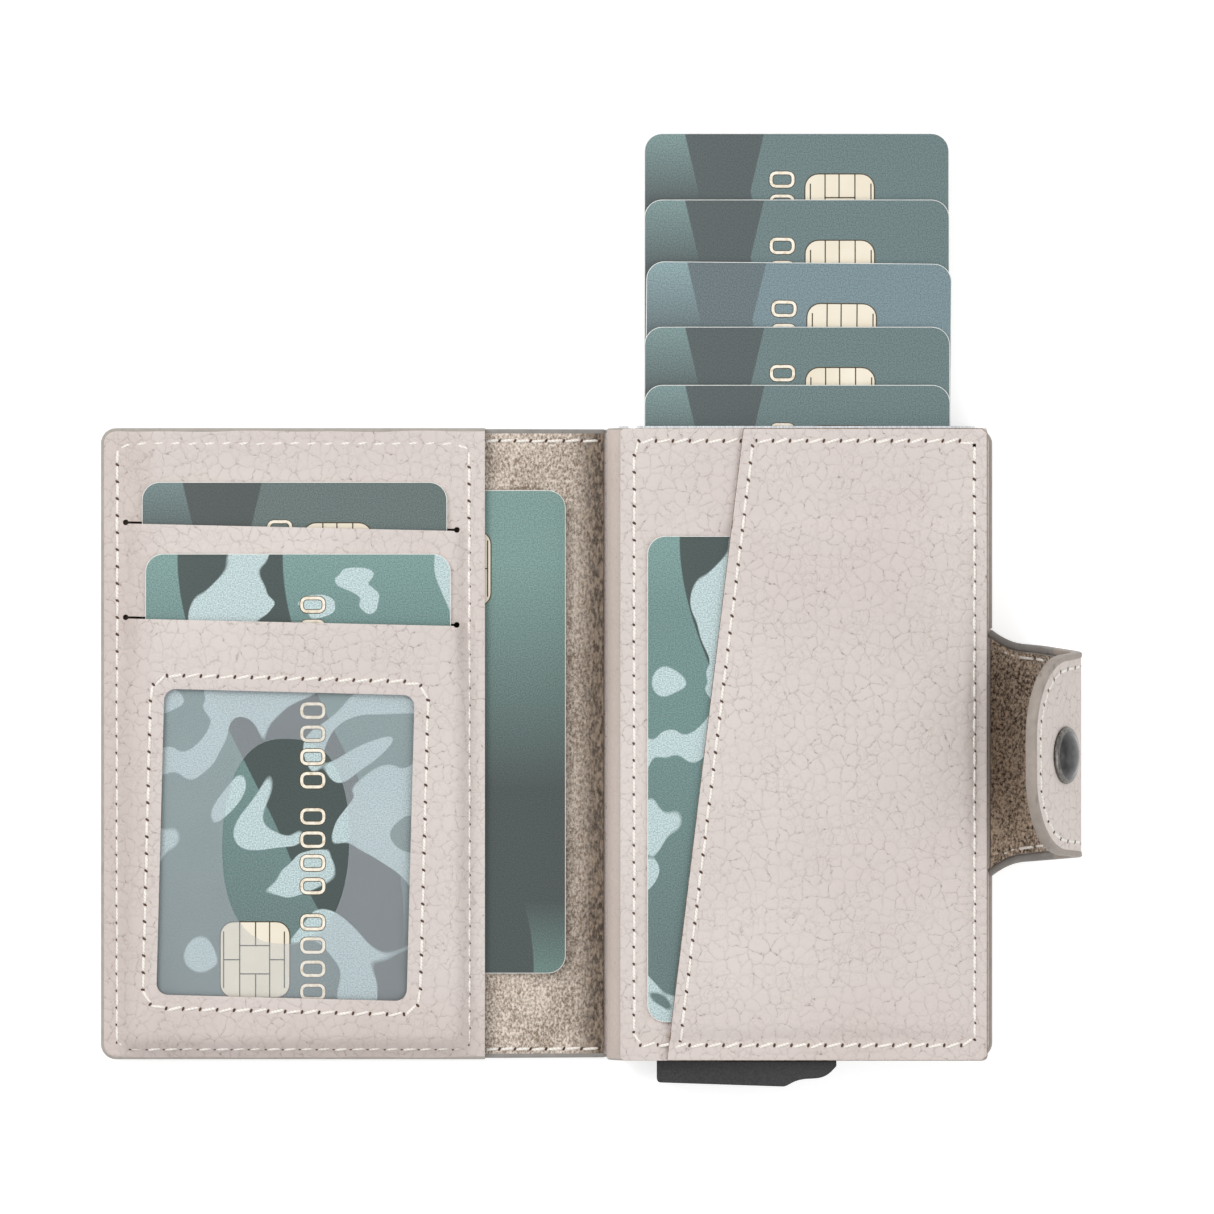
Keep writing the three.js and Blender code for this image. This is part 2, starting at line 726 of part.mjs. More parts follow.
function addStrap() {
  const midStart = strapRootLong;
  const tipStart = midStart + strapMidLong;
  const whole = tipStart + strapTipLong;
  strapRootGroup.position.set(strapFoldX, strapCentreY, halfLeather);
  strapMidGroup.position.x = strapRootLong;
  strapMidGroup.rotation.y = -rad(strapMidRise);
  strapTipGroup.position.x = strapMidLong;
  strapTipGroup.rotation.y = -rad(strapTipRise - strapMidRise);
  const postHole = disc(snapAlong, 0, snapPost + snapHoleFit, -overrun, overrun);
  const midMitre = rad(strapMidRise / 2);
  for (const [kind, finish, band] of [['leather', 'leather', leatherBand], ['lining', 'suede', liningBand]]) {
    addPiece(`strap_root_${kind}`, finish,
      strapPiece(0, midStart, band, quarterMitre, midMitre), strapRootGroup);
    addPiece(`strap_middle_${kind}`, finish,
      strapPiece(midStart, tipStart, band, midMitre, quarterMitre), strapMidGroup);
    addPiece(`strap_tip_${kind}`, finish,
      strapPiece(tipStart, whole, band, quarterMitre, null, postHole), strapTipGroup);
  }
  const socketLow = liningReach + layerGap;
  const socket = addPiece('snap_socket', 'gunmetal', snapSocket(socketLow), strapTipGroup);
  socket.position.x = snapAlong;
  const cap = addPiece('snap_cap', 'gunmetal', snapCap(socketLow), strapTipGroup);
  cap.position.x = snapAlong;
}

function snapSocket(low) {
  const high = low + socketThick;
  const mouth = studHeadRadius + snapPlay;
  return turned([
    [snapPost + layerGap, low],
    [socketRadius, low],
    [socketRadius, high - socketRoof],
    [socketRadius - socketRoof, high],
    [mouth, high],
    [mouth, low + socketRoof],
    [snapPost + layerGap, low + socketRoof],
    [snapPost + layerGap, low],
  ]);
}

function snapCap(socketLow) {
  const seat = -halfLeather - layerGap;
  const dome = [];
  const steps = 8;
  for (let step = 0; step <= steps; step += 1) {
    const angle = (Math.PI / 2) * (step / steps);
    dome.push([capRadius * Math.sin(angle), seat - capRim - (capHigh - capRim) * Math.cos(angle)]);
  }
  return turned([
    ...dome,
    [capRadius, seat],
    [snapPost, seat],
    [snapPost, socketLow + socketRoof],
    [0, socketLow + socketRoof],
  ]);
}

addCardCase();
addLever();
addFannedCards();
addSpine();
addFrontCover();
addStrap();

export default holder;
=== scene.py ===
# %% [markdown]
# # Pop-up card holder
# A leather wallet lies open: a slim metal card case on the right, a cover with card slots on the left,
# and a short closing strap. This lesson dresses the imported model piece by piece. Every piece sits where
# the model's own parts sit, and the rigid ones ride on the model's bodies, so the joints move them.

# %% Load the frame
import json
import math

import bmesh
import bpy
import numpy as np
from mathutils import Matrix, Vector

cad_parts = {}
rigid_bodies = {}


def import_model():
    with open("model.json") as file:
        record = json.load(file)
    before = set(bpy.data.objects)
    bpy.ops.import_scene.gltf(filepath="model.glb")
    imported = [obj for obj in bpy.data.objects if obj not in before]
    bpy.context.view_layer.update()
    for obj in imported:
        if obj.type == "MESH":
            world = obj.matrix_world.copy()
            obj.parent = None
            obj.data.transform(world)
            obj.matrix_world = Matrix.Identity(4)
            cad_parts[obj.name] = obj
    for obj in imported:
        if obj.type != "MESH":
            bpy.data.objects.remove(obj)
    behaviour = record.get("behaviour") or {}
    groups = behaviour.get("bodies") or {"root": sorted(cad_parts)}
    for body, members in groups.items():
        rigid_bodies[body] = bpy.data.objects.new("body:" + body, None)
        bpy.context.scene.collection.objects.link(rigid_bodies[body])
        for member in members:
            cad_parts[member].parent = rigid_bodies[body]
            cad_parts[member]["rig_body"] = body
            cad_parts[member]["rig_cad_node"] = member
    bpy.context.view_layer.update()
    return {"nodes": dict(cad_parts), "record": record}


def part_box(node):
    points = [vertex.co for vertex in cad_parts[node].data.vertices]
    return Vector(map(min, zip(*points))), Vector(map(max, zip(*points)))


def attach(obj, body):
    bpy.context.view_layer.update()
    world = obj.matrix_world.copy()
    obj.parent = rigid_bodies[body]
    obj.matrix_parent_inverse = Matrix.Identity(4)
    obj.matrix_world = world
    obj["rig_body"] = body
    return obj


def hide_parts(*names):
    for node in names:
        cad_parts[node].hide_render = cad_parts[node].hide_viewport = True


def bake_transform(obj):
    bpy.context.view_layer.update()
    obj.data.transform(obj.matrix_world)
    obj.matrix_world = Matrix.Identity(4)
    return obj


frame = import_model()
MM = 0.001


# %% [markdown]
# The model's parts give the places of everything else. A small function reads a part's box in millimetres,
# because leather work is measured in millimetres while Blender works in metres.

# %% Read the places
def box_of(part):
    """Lowest and highest corner of a part of the model, in millimetres."""
    low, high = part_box(part)
    return np.array(low) / MM, np.array(high) / MM


cover_low, cover_high = box_of("jacket_front")
case_low, case_high = box_of("case_wrap")
top_low, top_high = box_of("top_panel")
pocket_low, pocket_high = box_of("diagonal_pocket")
COVER_LEFT = cover_low[0]
PANEL_RIGHT = box_of("pocket_panel")[1][0]
HALF_TALL = cover_high[1]
BLOCK_HALF = case_high[0]
JACKET_RIGHT = 34.5
SPINE_FOLD = -34.95
COVER_FOLD = -53.857
COVER_LIFT = cover_low[2]
MID_SPINE = (SPINE_FOLD + COVER_FOLD) / 2
LEATHER = 1.1
LINING = 0.45
LAYER_GAP = 0.05
PAINT_INSET = 0.35
LINING_END = 0.75
CORNER = 2.2
print("cover", COVER_LEFT, PANEL_RIGHT, "half tall", HALF_TALL, "lift", COVER_LIFT)


# %% [markdown]
# ## Camera and light
# The picture was taken from straight above with a long lens, so the camera hangs 1.3 m over the wallet.
# The light is a pale studio: a dim white world from all sides and two wide lamps. The lamp from the
# upper left is the stronger, because the grain only shows where the light comes from one side.

# %% Camera, lamps, world and floor
def add_lamp(name, place, power, wide):
    """A square lamp that looks at the wallet."""
    bpy.ops.object.light_add(type="AREA", location=place)
    lamp = bpy.context.object
    lamp.name = name
    lamp.data.energy = power
    lamp.data.size = wide
    aim = Vector((-0.03, 0.02, 0)) - Vector(place)
    lamp.rotation_euler = aim.to_track_quat("-Z", "Y").to_euler()


bpy.ops.object.select_all(action="DESELECT")
bpy.ops.object.camera_add(location=(-0.0336, 0.0242, 1.3), rotation=(0, 0, 0))
camera = bpy.context.object
camera.name = "photo_camera"
camera.data.sensor_width = 36
camera.data.lens = 217
bpy.context.scene.camera = camera
add_lamp("key_lamp", (-0.9, 0.8, 1.1), 12, 0.9)
add_lamp("fill_lamp", (1.0, -0.4, 1.1), 8.5, 1.4)
bpy.context.scene.view_settings.view_transform = "Standard"
print("camera height", camera.location.z, "lens", camera.data.lens)


# %% [markdown]
# ## Materials
# Colours are written as the hex values that a picture editor shows. Blender's shaders want linear light,
# so one function turns them. One more adds a shader node with its settings, values and links, and gives
# back the output that the next node takes. Patterns read object coordinates in metres, so a scale of 1000
# divided by a size in millimetres gives that size. Two digits of a scale are enough for a noise. The
# sockets of Map Range are numbered: the value, the range it comes from, and the range it goes to. Those
# of Mix that are used here are 0 for the share and 6 and 7 for the two colours.

# %% Colour and node functions
def linear(text):
    """An sRGB hex colour as linear red, green, blue and alpha."""
    parts = [int(text[i:i + 2], 16) / 255 for i in (1, 3, 5)]
    return tuple(c / 12.92 if c <= 0.04045 else ((c + 0.055) / 1.055) ** 2.4 for c in parts) + (1.0,)


def per_unit(size, unit=1000):
    """The scale that gives features of size millimetres on coordinates whose unit is so many."""
    return float(f"{unit / size:.2g}")


def node(tree, kind, inputs=None, out=0, **settings):
    """Adds a shader node: its settings, and for each input a value or another node's output."""
    made = tree.nodes.new("ShaderNode" + kind)
    for key, value in settings.items():
        setattr(made, key, value)
    for key, value in (inputs or {}).items():
        if isinstance(value, bpy.types.NodeSocket):
            tree.links.new(value, made.inputs[key])
        else:
            made.inputs[key].default_value = value
    return made.outputs[out] if made.outputs else None


def start_material(name):
    """A new material and its empty node tree."""
    material = bpy.data.materials.new(name)
    material.use_nodes = True
    material.node_tree.nodes.clear()
    return material, material.node_tree


def end_material(tree, **sockets):
    """Ends a tree in a Principled shader, whose sockets take values or outputs, _ standing for a space."""
    named = {key.replace("_", " "): value for key, value in sockets.items()}
    node(tree, "OutputMaterial", {"Surface": node(tree, "BsdfPrincipled", named)})


# %% [markdown]
# The world and the floor look white to the camera and in reflections, but light the wallet only dimly.
# Light Path tells which ray is asking. The floor keeps the wallet's soft shadow, because only part of its
# white is its own glow.

# %% World and floor finishes
WORLD_LIGHT = 0.55
PAPER_GLOW = 0.62
WHITE = (1, 1, 1, 1)


def seen_rays(tree):
    """1 for rays from the camera, off a gloss or through film, and 0 for those that light the wallet."""
    rays = node(tree, "LightPath").node.outputs
    seen = node(tree, "Math", {0: rays["Is Camera Ray"], 1: rays["Is Glossy Ray"]}, operation="MAXIMUM")
    return node(tree, "Math", {0: seen, 1: rays["Is Transmission Ray"]}, operation="MAXIMUM")


world = bpy.data.worlds.new("pale_studio")
bpy.context.scene.world = world
world.use_nodes = True
tree = world.node_tree
tree.nodes.clear()
dim = node(tree, "Background", {"Color": WHITE, "Strength": WORLD_LIGHT})
white = node(tree, "Background", {"Color": WHITE, "Strength": 1.0})
node(tree, "OutputWorld", {"Surface": node(tree, "MixShader", {0: seen_rays(tree), 1: dim, 2: white})})

paper, tree = start_material("matt_white_paper_sweep")
matt = node(tree, "BsdfPrincipled", {"Base Color": linear("#D2D2D2"), "Roughness": 0.9,
                                     "Specular IOR Level": 0.1})
share = node(tree, "Math", {0: seen_rays(tree), 1: PAPER_GLOW}, operation="MULTIPLY")
glow = node(tree, "Emission", {"Color": WHITE, "Strength": share})
node(tree, "OutputMaterial", {"Surface": node(tree, "AddShader", {0: matt, 1: glow})})

bpy.ops.mesh.primitive_plane_add(size=6, location=(-0.03, 0.02, -0.0001))
floor = bpy.context.object
floor.name = "paper_floor"
floor.data.materials.append(paper)
print("floor and world ready")


# %% [markdown]
# ### Pebbled leather
# The jacket is drum-dyed calf leather with a pebble grain: soft round cells about 2.3 mm wide with thin
# creases between them. A Voronoi texture's distance to its cell edges draws such creases, and a finer one
# draws hair lines on the pebbles; both are painted darker, as painted shade in the grain. The texture is
# read flat, in two dimensions, so that all cells have about one size, and a Mapping node lays that plane
# along a sheet that slopes. Noise bends the cells a little and lets each crease fade in and out, and small
# pits add painted shade where a crease is deepest. The foot of the cover and its outer margin are painted
# a little warmer and darker, as painted shade where the light falls off.

# %% Leather
SHADE_FOOT = (-54 * MM, -38 * MM)
SHADE_COVER = (-60 * MM, -30 * MM)
SHADE_MARGIN = (-117 * MM, -112 * MM)
SHADE_TINT = (0.9, 0.862, 0.85, 1)
EASED = {"interpolation_type": "SMOOTHSTEP"}


def leather(name, tone, crease, grain, turn=0, dimensions="2D", depth=0.38, painted_shade=False):
    """Leather with pebbles of about grain millimetres, on a sheet that slopes by turn degrees."""
    material, tree = start_material(name)
    place = node(tree, "TexCoord", out="Object")
    place = node(tree, "Mapping", {"Vector": place, "Rotation": (0, math.radians(turn), 0)})
    warp = node(tree, "TexNoise", {"Vector": place, "Scale": per_unit(2.1), "Detail": 3.0,
                                   "Roughness": 0.6}, "Color")
    bent = node(tree, "VectorMath", {0: warp, 1: (0.0026, 0.0026, 0.0026), 2: place},
                operation="MULTIPLY_ADD")
    cells, wrinkles = [node(tree, "TexVoronoi", {"Vector": bent, "Scale": 1000 / size, "Randomness": 0.95},
                            feature="DISTANCE_TO_EDGE", voronoi_dimensions=dimensions)
                       for size in (grain, 0.52 * grain)]
    fade = node(tree, "TexNoise", {"Vector": place, "Scale": per_unit(2.4), "Detail": 2.0})
    fade = node(tree, "MapRange", {0: fade, 1: 0.4, 2: 0.6, 3: 0.18, 4: 1.0})
    soft = node(tree, "MapRange", {0: cells, 1: 0.0, 2: 0.2, 3: 0.16, 4: 0.0}, **EASED)
    core = node(tree, "MapRange", {0: cells, 1: 0.0, 2: 0.055, 3: 0.9, 4: 0.0})
    core = node(tree, "Math", {0: core, 1: fade, 2: soft}, operation="MULTIPLY_ADD")
    hair = node(tree, "MapRange", {0: wrinkles, 1: 0.0, 2: 0.1, 3: 0.6, 4: 0.0})
    pressed = node(tree, "TexNoise", {"Vector": place, "Scale": per_unit(6.7), "Detail": 2.0})
    pressed = node(tree, "MapRange", {0: pressed, 1: 0.38, 2: 0.66, 3: 0.0, 4: 0.9})
    hair = node(tree, "Math", {0: hair, 1: pressed}, operation="MULTIPLY")
    line = node(tree, "Math", {0: core, 1: hair}, operation="MAXIMUM")
    # Painted shade: small pits darken the creases where they are deepest.
    dots = node(tree, "TexVoronoi", {"Vector": place, "Scale": per_unit(1.43)},
                voronoi_dimensions=dimensions)
    dots = node(tree, "MapRange", {0: dots, 1: 0.1, 2: 0.24, 3: 0.5, 4: 0.0})
    pits = node(tree, "Math", {0: dots, 1: line}, operation="MULTIPLY")
    dark = node(tree, "Math", {0: line, 1: depth, 2: pits}, operation="MULTIPLY_ADD", use_clamp=True)
    cloud = node(tree, "TexNoise", {"Vector": place, "Scale": per_unit(36), "Detail": 4.0})
    cloud = node(tree, "MapRange", {0: cloud, 1: 0.3, 2: 0.7, 3: 0.0, 4: 1.0})
    ground = node(tree, "Mix", {0: cloud, 6: linear(tone[0]), 7: linear(tone[1])}, 2, data_type="RGBA")
    # Painted shade: warmer and darker towards the cover's foot and its outer margin.
    if painted_shade:
        across, up, _ = node(tree, "SeparateXYZ", {0: place}).node.outputs
        foot = node(tree, "MapRange", {0: up, 1: SHADE_FOOT[0], 2: SHADE_FOOT[1], 3: 1.0, 4: 0.0},
                    **EASED)
        cover = node(tree, "MapRange", {0: across, 1: SHADE_COVER[0], 2: SHADE_COVER[1], 3: 1.0,
                                        4: 0.45})
        foot = node(tree, "Math", {0: foot, 1: cover}, operation="MULTIPLY")
        left = node(tree, "MapRange", {0: across, 1: SHADE_MARGIN[0], 2: SHADE_MARGIN[1], 3: 0.65,
                                       4: 0.0}, **EASED)
        shaded = node(tree, "Math", {0: foot, 1: left}, operation="MAXIMUM")
        ground = node(tree, "Mix", {0: shaded, 6: ground, 7: SHADE_TINT}, 2, data_type="RGBA",
                      blend_type="MULTIPLY")
    # Painted shade in the grain: crease lines and pits take the darker crease colour.
    colour = node(tree, "Mix", {0: dark, 6: ground, 7: linear(crease)}, 2, data_type="RGBA")
    dome = node(tree, "MapRange", {0: cells, 1: 0.0, 2: 0.3, 3: 0.0, 4: 1.0}, **EASED)
    fine = node(tree, "TexNoise", {"Vector": place, "Scale": per_unit(0.67), "Detail": 3.0})
    height = node(tree, "Math", {0: fine, 1: 0.45, 2: dome}, operation="MULTIPLY_ADD")
    height = node(tree, "Math", {0: hair, 1: -0.5, 2: height}, operation="MULTIPLY_ADD")
    bump = node(tree, "Bump", {"Height": height, "Strength": 0.32, "Distance": 0.00012})
    end_material(tree, Base_Color=colour, Normal=bump, Roughness=0.62, Specular_IOR_Level=0.35)
    return material


PEBBLE = 2.3
HIDE_TONE = ("#DED5D0", "#D5CAC5")
# Painted light: the strap's tip is a lighter copy of the hide, on a face that turns away from the key lamp.
TIP_LIT_TONE = ("#E4DAD4", "#DACFC9")
CREASE_SHADE = "#85766E"
hide = leather("pebbled_calf_leather_drum_dyed", HIDE_TONE, CREASE_SHADE, PEBBLE, painted_shade=True)
strap_hide = {"root": hide,
              "middle": leather("pebbled_calf_leather_strap_middle", HIDE_TONE, CREASE_SHADE, PEBBLE, 65),
              "tip": leather("pebbled_calf_leather_strap_tip", TIP_LIT_TONE, CREASE_SHADE, PEBBLE, 118)}
print("leather cells of", PEBBLE, "mm")


# %% [markdown]
# The sleeve round the card case is the same hide, but pulled tight and skived thin, so its grain is finer
# and almost smooth. It is browner on the spine's side and painted lighter, as painted light, on the strap's
# side, which faces away from the key lamp. It bends round the case, so its grain is read in three
# dimensions.

# %% Sleeve leather
SKIVED = {"crease": "#96867B", "grain": 1.2, "dimensions": "3D", "depth": 0.2}
sleeve_hide = leather("skived_calf_leather_spine_side", ("#D3C6BE", "#C9BCB3"), **SKIVED)
# Painted light: the strap's side is a lighter copy of the same leather.
sleeve_painted_light = leather("skived_calf_leather_strap_side", ("#E9E1DC", "#DFD6D0"), **SKIVED)
print("sleeve grain of", SKIVED["grain"], "mm")


# %% [markdown]
# ### Painted edge
# Cut leather edges are sanded and coated with acrylic edge paint, a little darker and greyer than the
# hide. It dries as a smooth, slightly lumpy skin, so it is glossier than leather and almost plain. Where
# the leather bends, at the spine and the strap, the paint is worn darker and has small nicks.

# %% Painted edge
def painted(name, dark, light, nick):
    """Edge paint of two close tones, with nicks as dark as nick, from 0 to 1."""
    material, tree = start_material(name)
    place = node(tree, "TexCoord", out="Object")
    lumps = node(tree, "TexNoise", {"Vector": place, "Scale": per_unit(1.92), "Detail": 3.0})
    ground = node(tree, "Mix", {0: lumps, 6: linear(dark), 7: linear(light)}, 2, data_type="RGBA")
    drawn = node(tree, "Mapping", {"Vector": place, "Scale": (1.6, 0.5, 0.5)})
    nicks = node(tree, "TexVoronoi", {"Vector": drawn, "Scale": per_unit(2.4)})
    nicks = node(tree, "MapRange", {0: nicks, 1: 0.1, 2: 0.26, 3: nick, 4: 0.0})
    colour = node(tree, "Mix", {0: nicks, 6: ground, 7: linear("#3F3A36")}, 2, data_type="RGBA")
    bump = node(tree, "Bump", {"Height": lumps, "Strength": 0.4, "Distance": 0.0001})
    end_material(tree, Base_Color=colour, Normal=bump, Roughness=0.5, Specular_IOR_Level=0.35)
    return material


edge_paint = painted("acrylic_edge_paint_rolled_on", "#9D968E", "#B9B2AB", 0.12)
worn_paint = painted("acrylic_edge_paint_worn", "#7F7B77", "#A09C98", 0.55)
# The tip's bead is painted paler than the other edges.
tip_paint = painted("acrylic_edge_paint_rubbed_pale", "#8C837B", "#B1A69D", 0.35)
print("edge paint ready")


# %% [markdown]
# Small or plain surfaces are mottled between two tones by one noise. A die-cut leather edge shows short
# brown fibres. Relief is optional: a second noise, drawn out along the tool's strokes, for a surface that
# was brushed or has ripples.

# %% Mottled finishes and cut leather
def mottled(name, dark, light, size, span=None, detail=2.0, relief=None, **sockets):
    """Two tones in specks of size millimetres, sharpened to a span. Relief gives stretch, size in
    millimetres, strength and depth in millimetres."""
    material, tree = start_material(name)
    place = node(tree, "TexCoord", out="Object")
    specks = node(tree, "TexNoise", {"Vector": place, "Scale": per_unit(size), "Detail": detail})
    if span:
        specks = node(tree, "MapRange", {0: specks, 1: span[0], 2: span[1], 3: 0.0, 4: 1.0})
    colour = node(tree, "Mix", {0: specks, 6: linear(dark), 7: linear(light)}, 2, data_type="RGBA")
    if relief:
        stretch, width, strength, depth = relief
        drawn = node(tree, "Mapping", {"Vector": place, "Scale": stretch})
        strokes = node(tree, "TexNoise", {"Vector": drawn, "Scale": per_unit(width)})
        sockets["Normal"] = node(tree, "Bump", {"Height": strokes, "Strength": strength,
                                                "Distance": depth * MM})
    end_material(tree, Base_Color=colour, **sockets)
    return material


raw_cut = mottled("die_cut_leather_edge_unpainted", "#5C4639", "#A08B7C", 0.53, (0.35, 0.65), 3.0,
                  Roughness=0.85)
print("cut leather ready")


# %% [markdown]
# ### Suede
# The inside of spine, cover and strap is split leather with a brushed nap. Its short fibres catch the
# light in specks about half a millimetre long. Two noises, one drawn out along the fibres, give the
# specks, and a strong fine bump takes away every highlight. Next to the card case a darker band of upright
# fibres is painted, as painted shade where the case shades the nap; a second, longer grain draws them.

# %% Suede
CASE_SHADE_BAND = (-40.5, -35.2)


def suede(name, light, dark, shade_band=None):
    """Brushed split leather between a light and a dark fibre colour, with painted shade between two places
    on X.
    """
    material, tree = start_material(name)
    place = node(tree, "TexCoord", out="Object")
    drawn = node(tree, "Mapping", {"Vector": place, "Scale": (1.3, 0.9, 1.2)})
    specks = node(tree, "TexNoise", {"Vector": drawn, "Scale": per_unit(0.53), "Detail": 3.0,
                                     "Roughness": 0.7})
    specks = node(tree, "MapRange", {0: specks, 1: 0.36, 2: 0.62, 3: 0.0, 4: 1.0})
    shade = node(tree, "TexNoise", {"Vector": place, "Scale": per_unit(9.1), "Detail": 2.0})
    shade = node(tree, "MapRange", {0: shade, 1: 0.3, 2: 0.7, 3: -0.2, 4: 0.2})
    mixed = node(tree, "Math", {0: specks, 1: shade}, operation="ADD", use_clamp=True)
    colour = node(tree, "Mix", {0: mixed, 6: linear(dark), 7: linear(light)}, 2, data_type="RGBA")
    # Painted shade beside the card case: a darker band of upright fibres.
    if shade_band:
        across = node(tree, "SeparateXYZ", {0: place})
        near = node(tree, "MapRange", {0: across, 1: shade_band[0] * MM, 2: shade_band[1] * MM, 3: 0.0, 4: 0.85},
                    **EASED)
        upright = node(tree, "Mapping", {"Vector": place, "Scale": (1.5, 0.6, 1.0)})
        fibres = node(tree, "TexNoise", {"Vector": upright, "Scale": per_unit(0.67), "Detail": 2.0})
        fibres = node(tree, "MapRange", {0: fibres, 1: 0.4, 2: 0.62, 3: 0.0, 4: 1.0})
        shaded_fibres = node(tree, "Mix", {0: fibres, 6: linear("#3F3328"), 7: linear("#A18F7C")}, 2,
                    data_type="RGBA")
        colour = node(tree, "Mix", {0: near, 6: colour, 7: shaded_fibres}, 2, data_type="RGBA")
    bump = node(tree, "Bump", {"Height": specks, "Strength": 0.7, "Distance": 0.0002})
    end_material(tree, Base_Color=colour, Normal=bump, Roughness=1.0, Specular_IOR_Level=0.1,
                 Sheen_Weight=0.2, Sheen_Roughness=0.6)
    return material


spine_suede = suede("split_suede_brushed_taupe", "#F4E6D9", "#8E7C6B", CASE_SHADE_BAND)
# The strap's suede is a darker copy of the same suede: painted shade where the strap lies beside the card
# case.
shaded_strap_suede = suede("split_suede_strap_taupe", "#DDC7B1", "#4B3C30")
print("suede ready")


# %% [markdown]
# ### Thread and awl holes
# The seams are sewn with bonded polyester thread of half a millimetre. Its twisted strands are drawn by
# the slanting bands of a Wave texture. Where it goes down, the awl has left a small slanted hole, drawn as
# a dark brown disc of painted shade.

# %% Thread and holes
thread, tree = start_material("bonded_polyester_thread_cream")
place = node(tree, "TexCoord", out="Object")
strands = node(tree, "TexWave", {"Vector": place, "Scale": per_unit(1.11), "Distortion": 3.0}, "Fac",
               bands_direction="DIAGONAL")
colour = node(tree, "Mix", {0: strands, 6: linear("#EDE5DB"), 7: linear("#FFFCF7")}, 2, data_type="RGBA")
bump = node(tree, "Bump", {"Height": strands, "Strength": 0.5, "Distance": 0.00005})
end_material(tree, Base_Color=colour, Normal=bump, Roughness=0.6, Sheen_Weight=0.2)
awl_hole_shade = mottled("awl_hole_burnt_leather", "#2A1D16", "#6A4F3D", 0.62, Roughness=0.9)
print("thread ready")


# %% [markdown]
# ### Bank cards
# A card is white PVC, printed by offset and laminated under a clear sheet. The print is a generic design of
# plain shapes: its ground fades down the card, a broad dark ribbon crosses it, and on some cards pale
# clouds lie on that, which a noise cuts out. Where the ground darkens from its top tone to its middle one,
# that is partly print and partly painted shadow of the next card in the fan. It reads the card's own map,
# whose unit is 100 mm, so that each card carries the print with it. The laminate is satin, so it adds
# little shine.

# %% Card print
CARD_MAP = 100
PALE_CLOUD = "#D6EAEC"
PRINT_SPECK = "#2F3E3C"


def card_print(name, corner, top, middle, foot, ribbon, clouds=0.0):
    """The printed face of a card: the pale corner, the ground's three tones, the ribbon and clouds."""
    material, tree = start_material(name)
    spot = node(tree, "UVMap", uv_map="print_map")
    across, along, _ = node(tree, "SeparateXYZ", {0: spot}).node.outputs
    # Partly painted shadow: the ground darkens from the top tone to the middle one, under the next card of
    # the fan.
    down = node(tree, "MapRange", {0: along, 1: 0.3, 2: -0.1, 3: 0.0, 4: 1.0})
    colour = node(tree, "Mix", {0: down, 6: linear(top), 7: linear(middle)}, 2, data_type="RGBA")
    down = node(tree, "MapRange", {0: along, 1: -0.3, 2: -0.42, 3: 0.0, 4: 1.0})
    colour = node(tree, "Mix", {0: down, 6: colour, 7: linear(foot)}, 2, data_type="RGBA")
    glow = node(tree, "MapRange", {0: along, 1: 0.31, 2: 0.43, 3: 0.0, 4: 1.0})
    left_ground = node(tree, "Mix", {0: glow, 6: linear(ribbon), 7: linear(corner)}, 2, data_type="RGBA")
    left_side = node(tree, "MapRange", {0: across, 1: -0.13, 2: -0.12, 3: 1.0, 4: 0.0})
    upper = node(tree, "MapRange", {0: along, 1: 0.2, 2: 0.3, 3: 0.0, 4: 1.0})
    left_side = node(tree, "Math", {0: left_side, 1: upper}, operation="MULTIPLY")
    colour = node(tree, "Mix", {0: left_side, 6: colour, 7: left_ground}, 2, data_type="RGBA")
    swing = node(tree, "MapRange", {0: along, 1: 0.32, 2: -0.42, 3: -0.128, 4: 0.12}, **EASED)
    from_ribbon = node(tree, "Math", {0: across, 1: swing}, operation="SUBTRACT")
    from_ribbon = node(tree, "Math", {0: from_ribbon}, operation="ABSOLUTE")
    half = node(tree, "Math", {0: along, 1: 0.325}, operation="SUBTRACT")
    half = node(tree, "Math", {0: half}, operation="ABSOLUTE")
    half = node(tree, "MapRange", {0: half, 1: 0.0, 2: 0.2, 3: 0.046, 4: 0.093})
    inside = node(tree, "Math", {0: half, 1: from_ribbon}, operation="SUBTRACT")
    inside = node(tree, "MapRange", {0: inside, 1: -0.001, 2: 0.001, 3: 0.0, 4: 1.0})
    colour = node(tree, "Mix", {0: inside, 6: colour, 7: linear(ribbon)}, 2, data_type="RGBA")
    if clouds:
        drift = node(tree, "TexNoise", {"Vector": spot, "Scale": per_unit(21.7, CARD_MAP), "Detail": 1.0,
                                        "Roughness": 0.4, "Distortion": 1.6})
        drift = node(tree, "MapRange", {0: drift, 1: 1 - clouds, 2: 1.01 - clouds, 3: 0.0, 4: 0.92})
        colour = node(tree, "Mix", {0: drift, 6: colour, 7: linear(PALE_CLOUD)}, 2, data_type="RGBA")
    speck = node(tree, "TexNoise", {"Vector": spot, "Scale": per_unit(0.233, CARD_MAP), "Detail": 0.0})
    speck = node(tree, "MapRange", {0: speck, 1: 0.3, 2: 0.7, 3: 0.0, 4: 0.4})
    colour = node(tree, "Mix", {0: speck, 6: colour, 7: linear(PRINT_SPECK)}, 2, data_type="RGBA")
    rough = node(tree, "MapRange", {0: speck, 1: 0.0, 2: 0.4, 3: 0.38, 4: 0.5})
    end_material(tree, Base_Color=colour, Roughness=rough, Specular_IOR_Level=0.25)
    return material


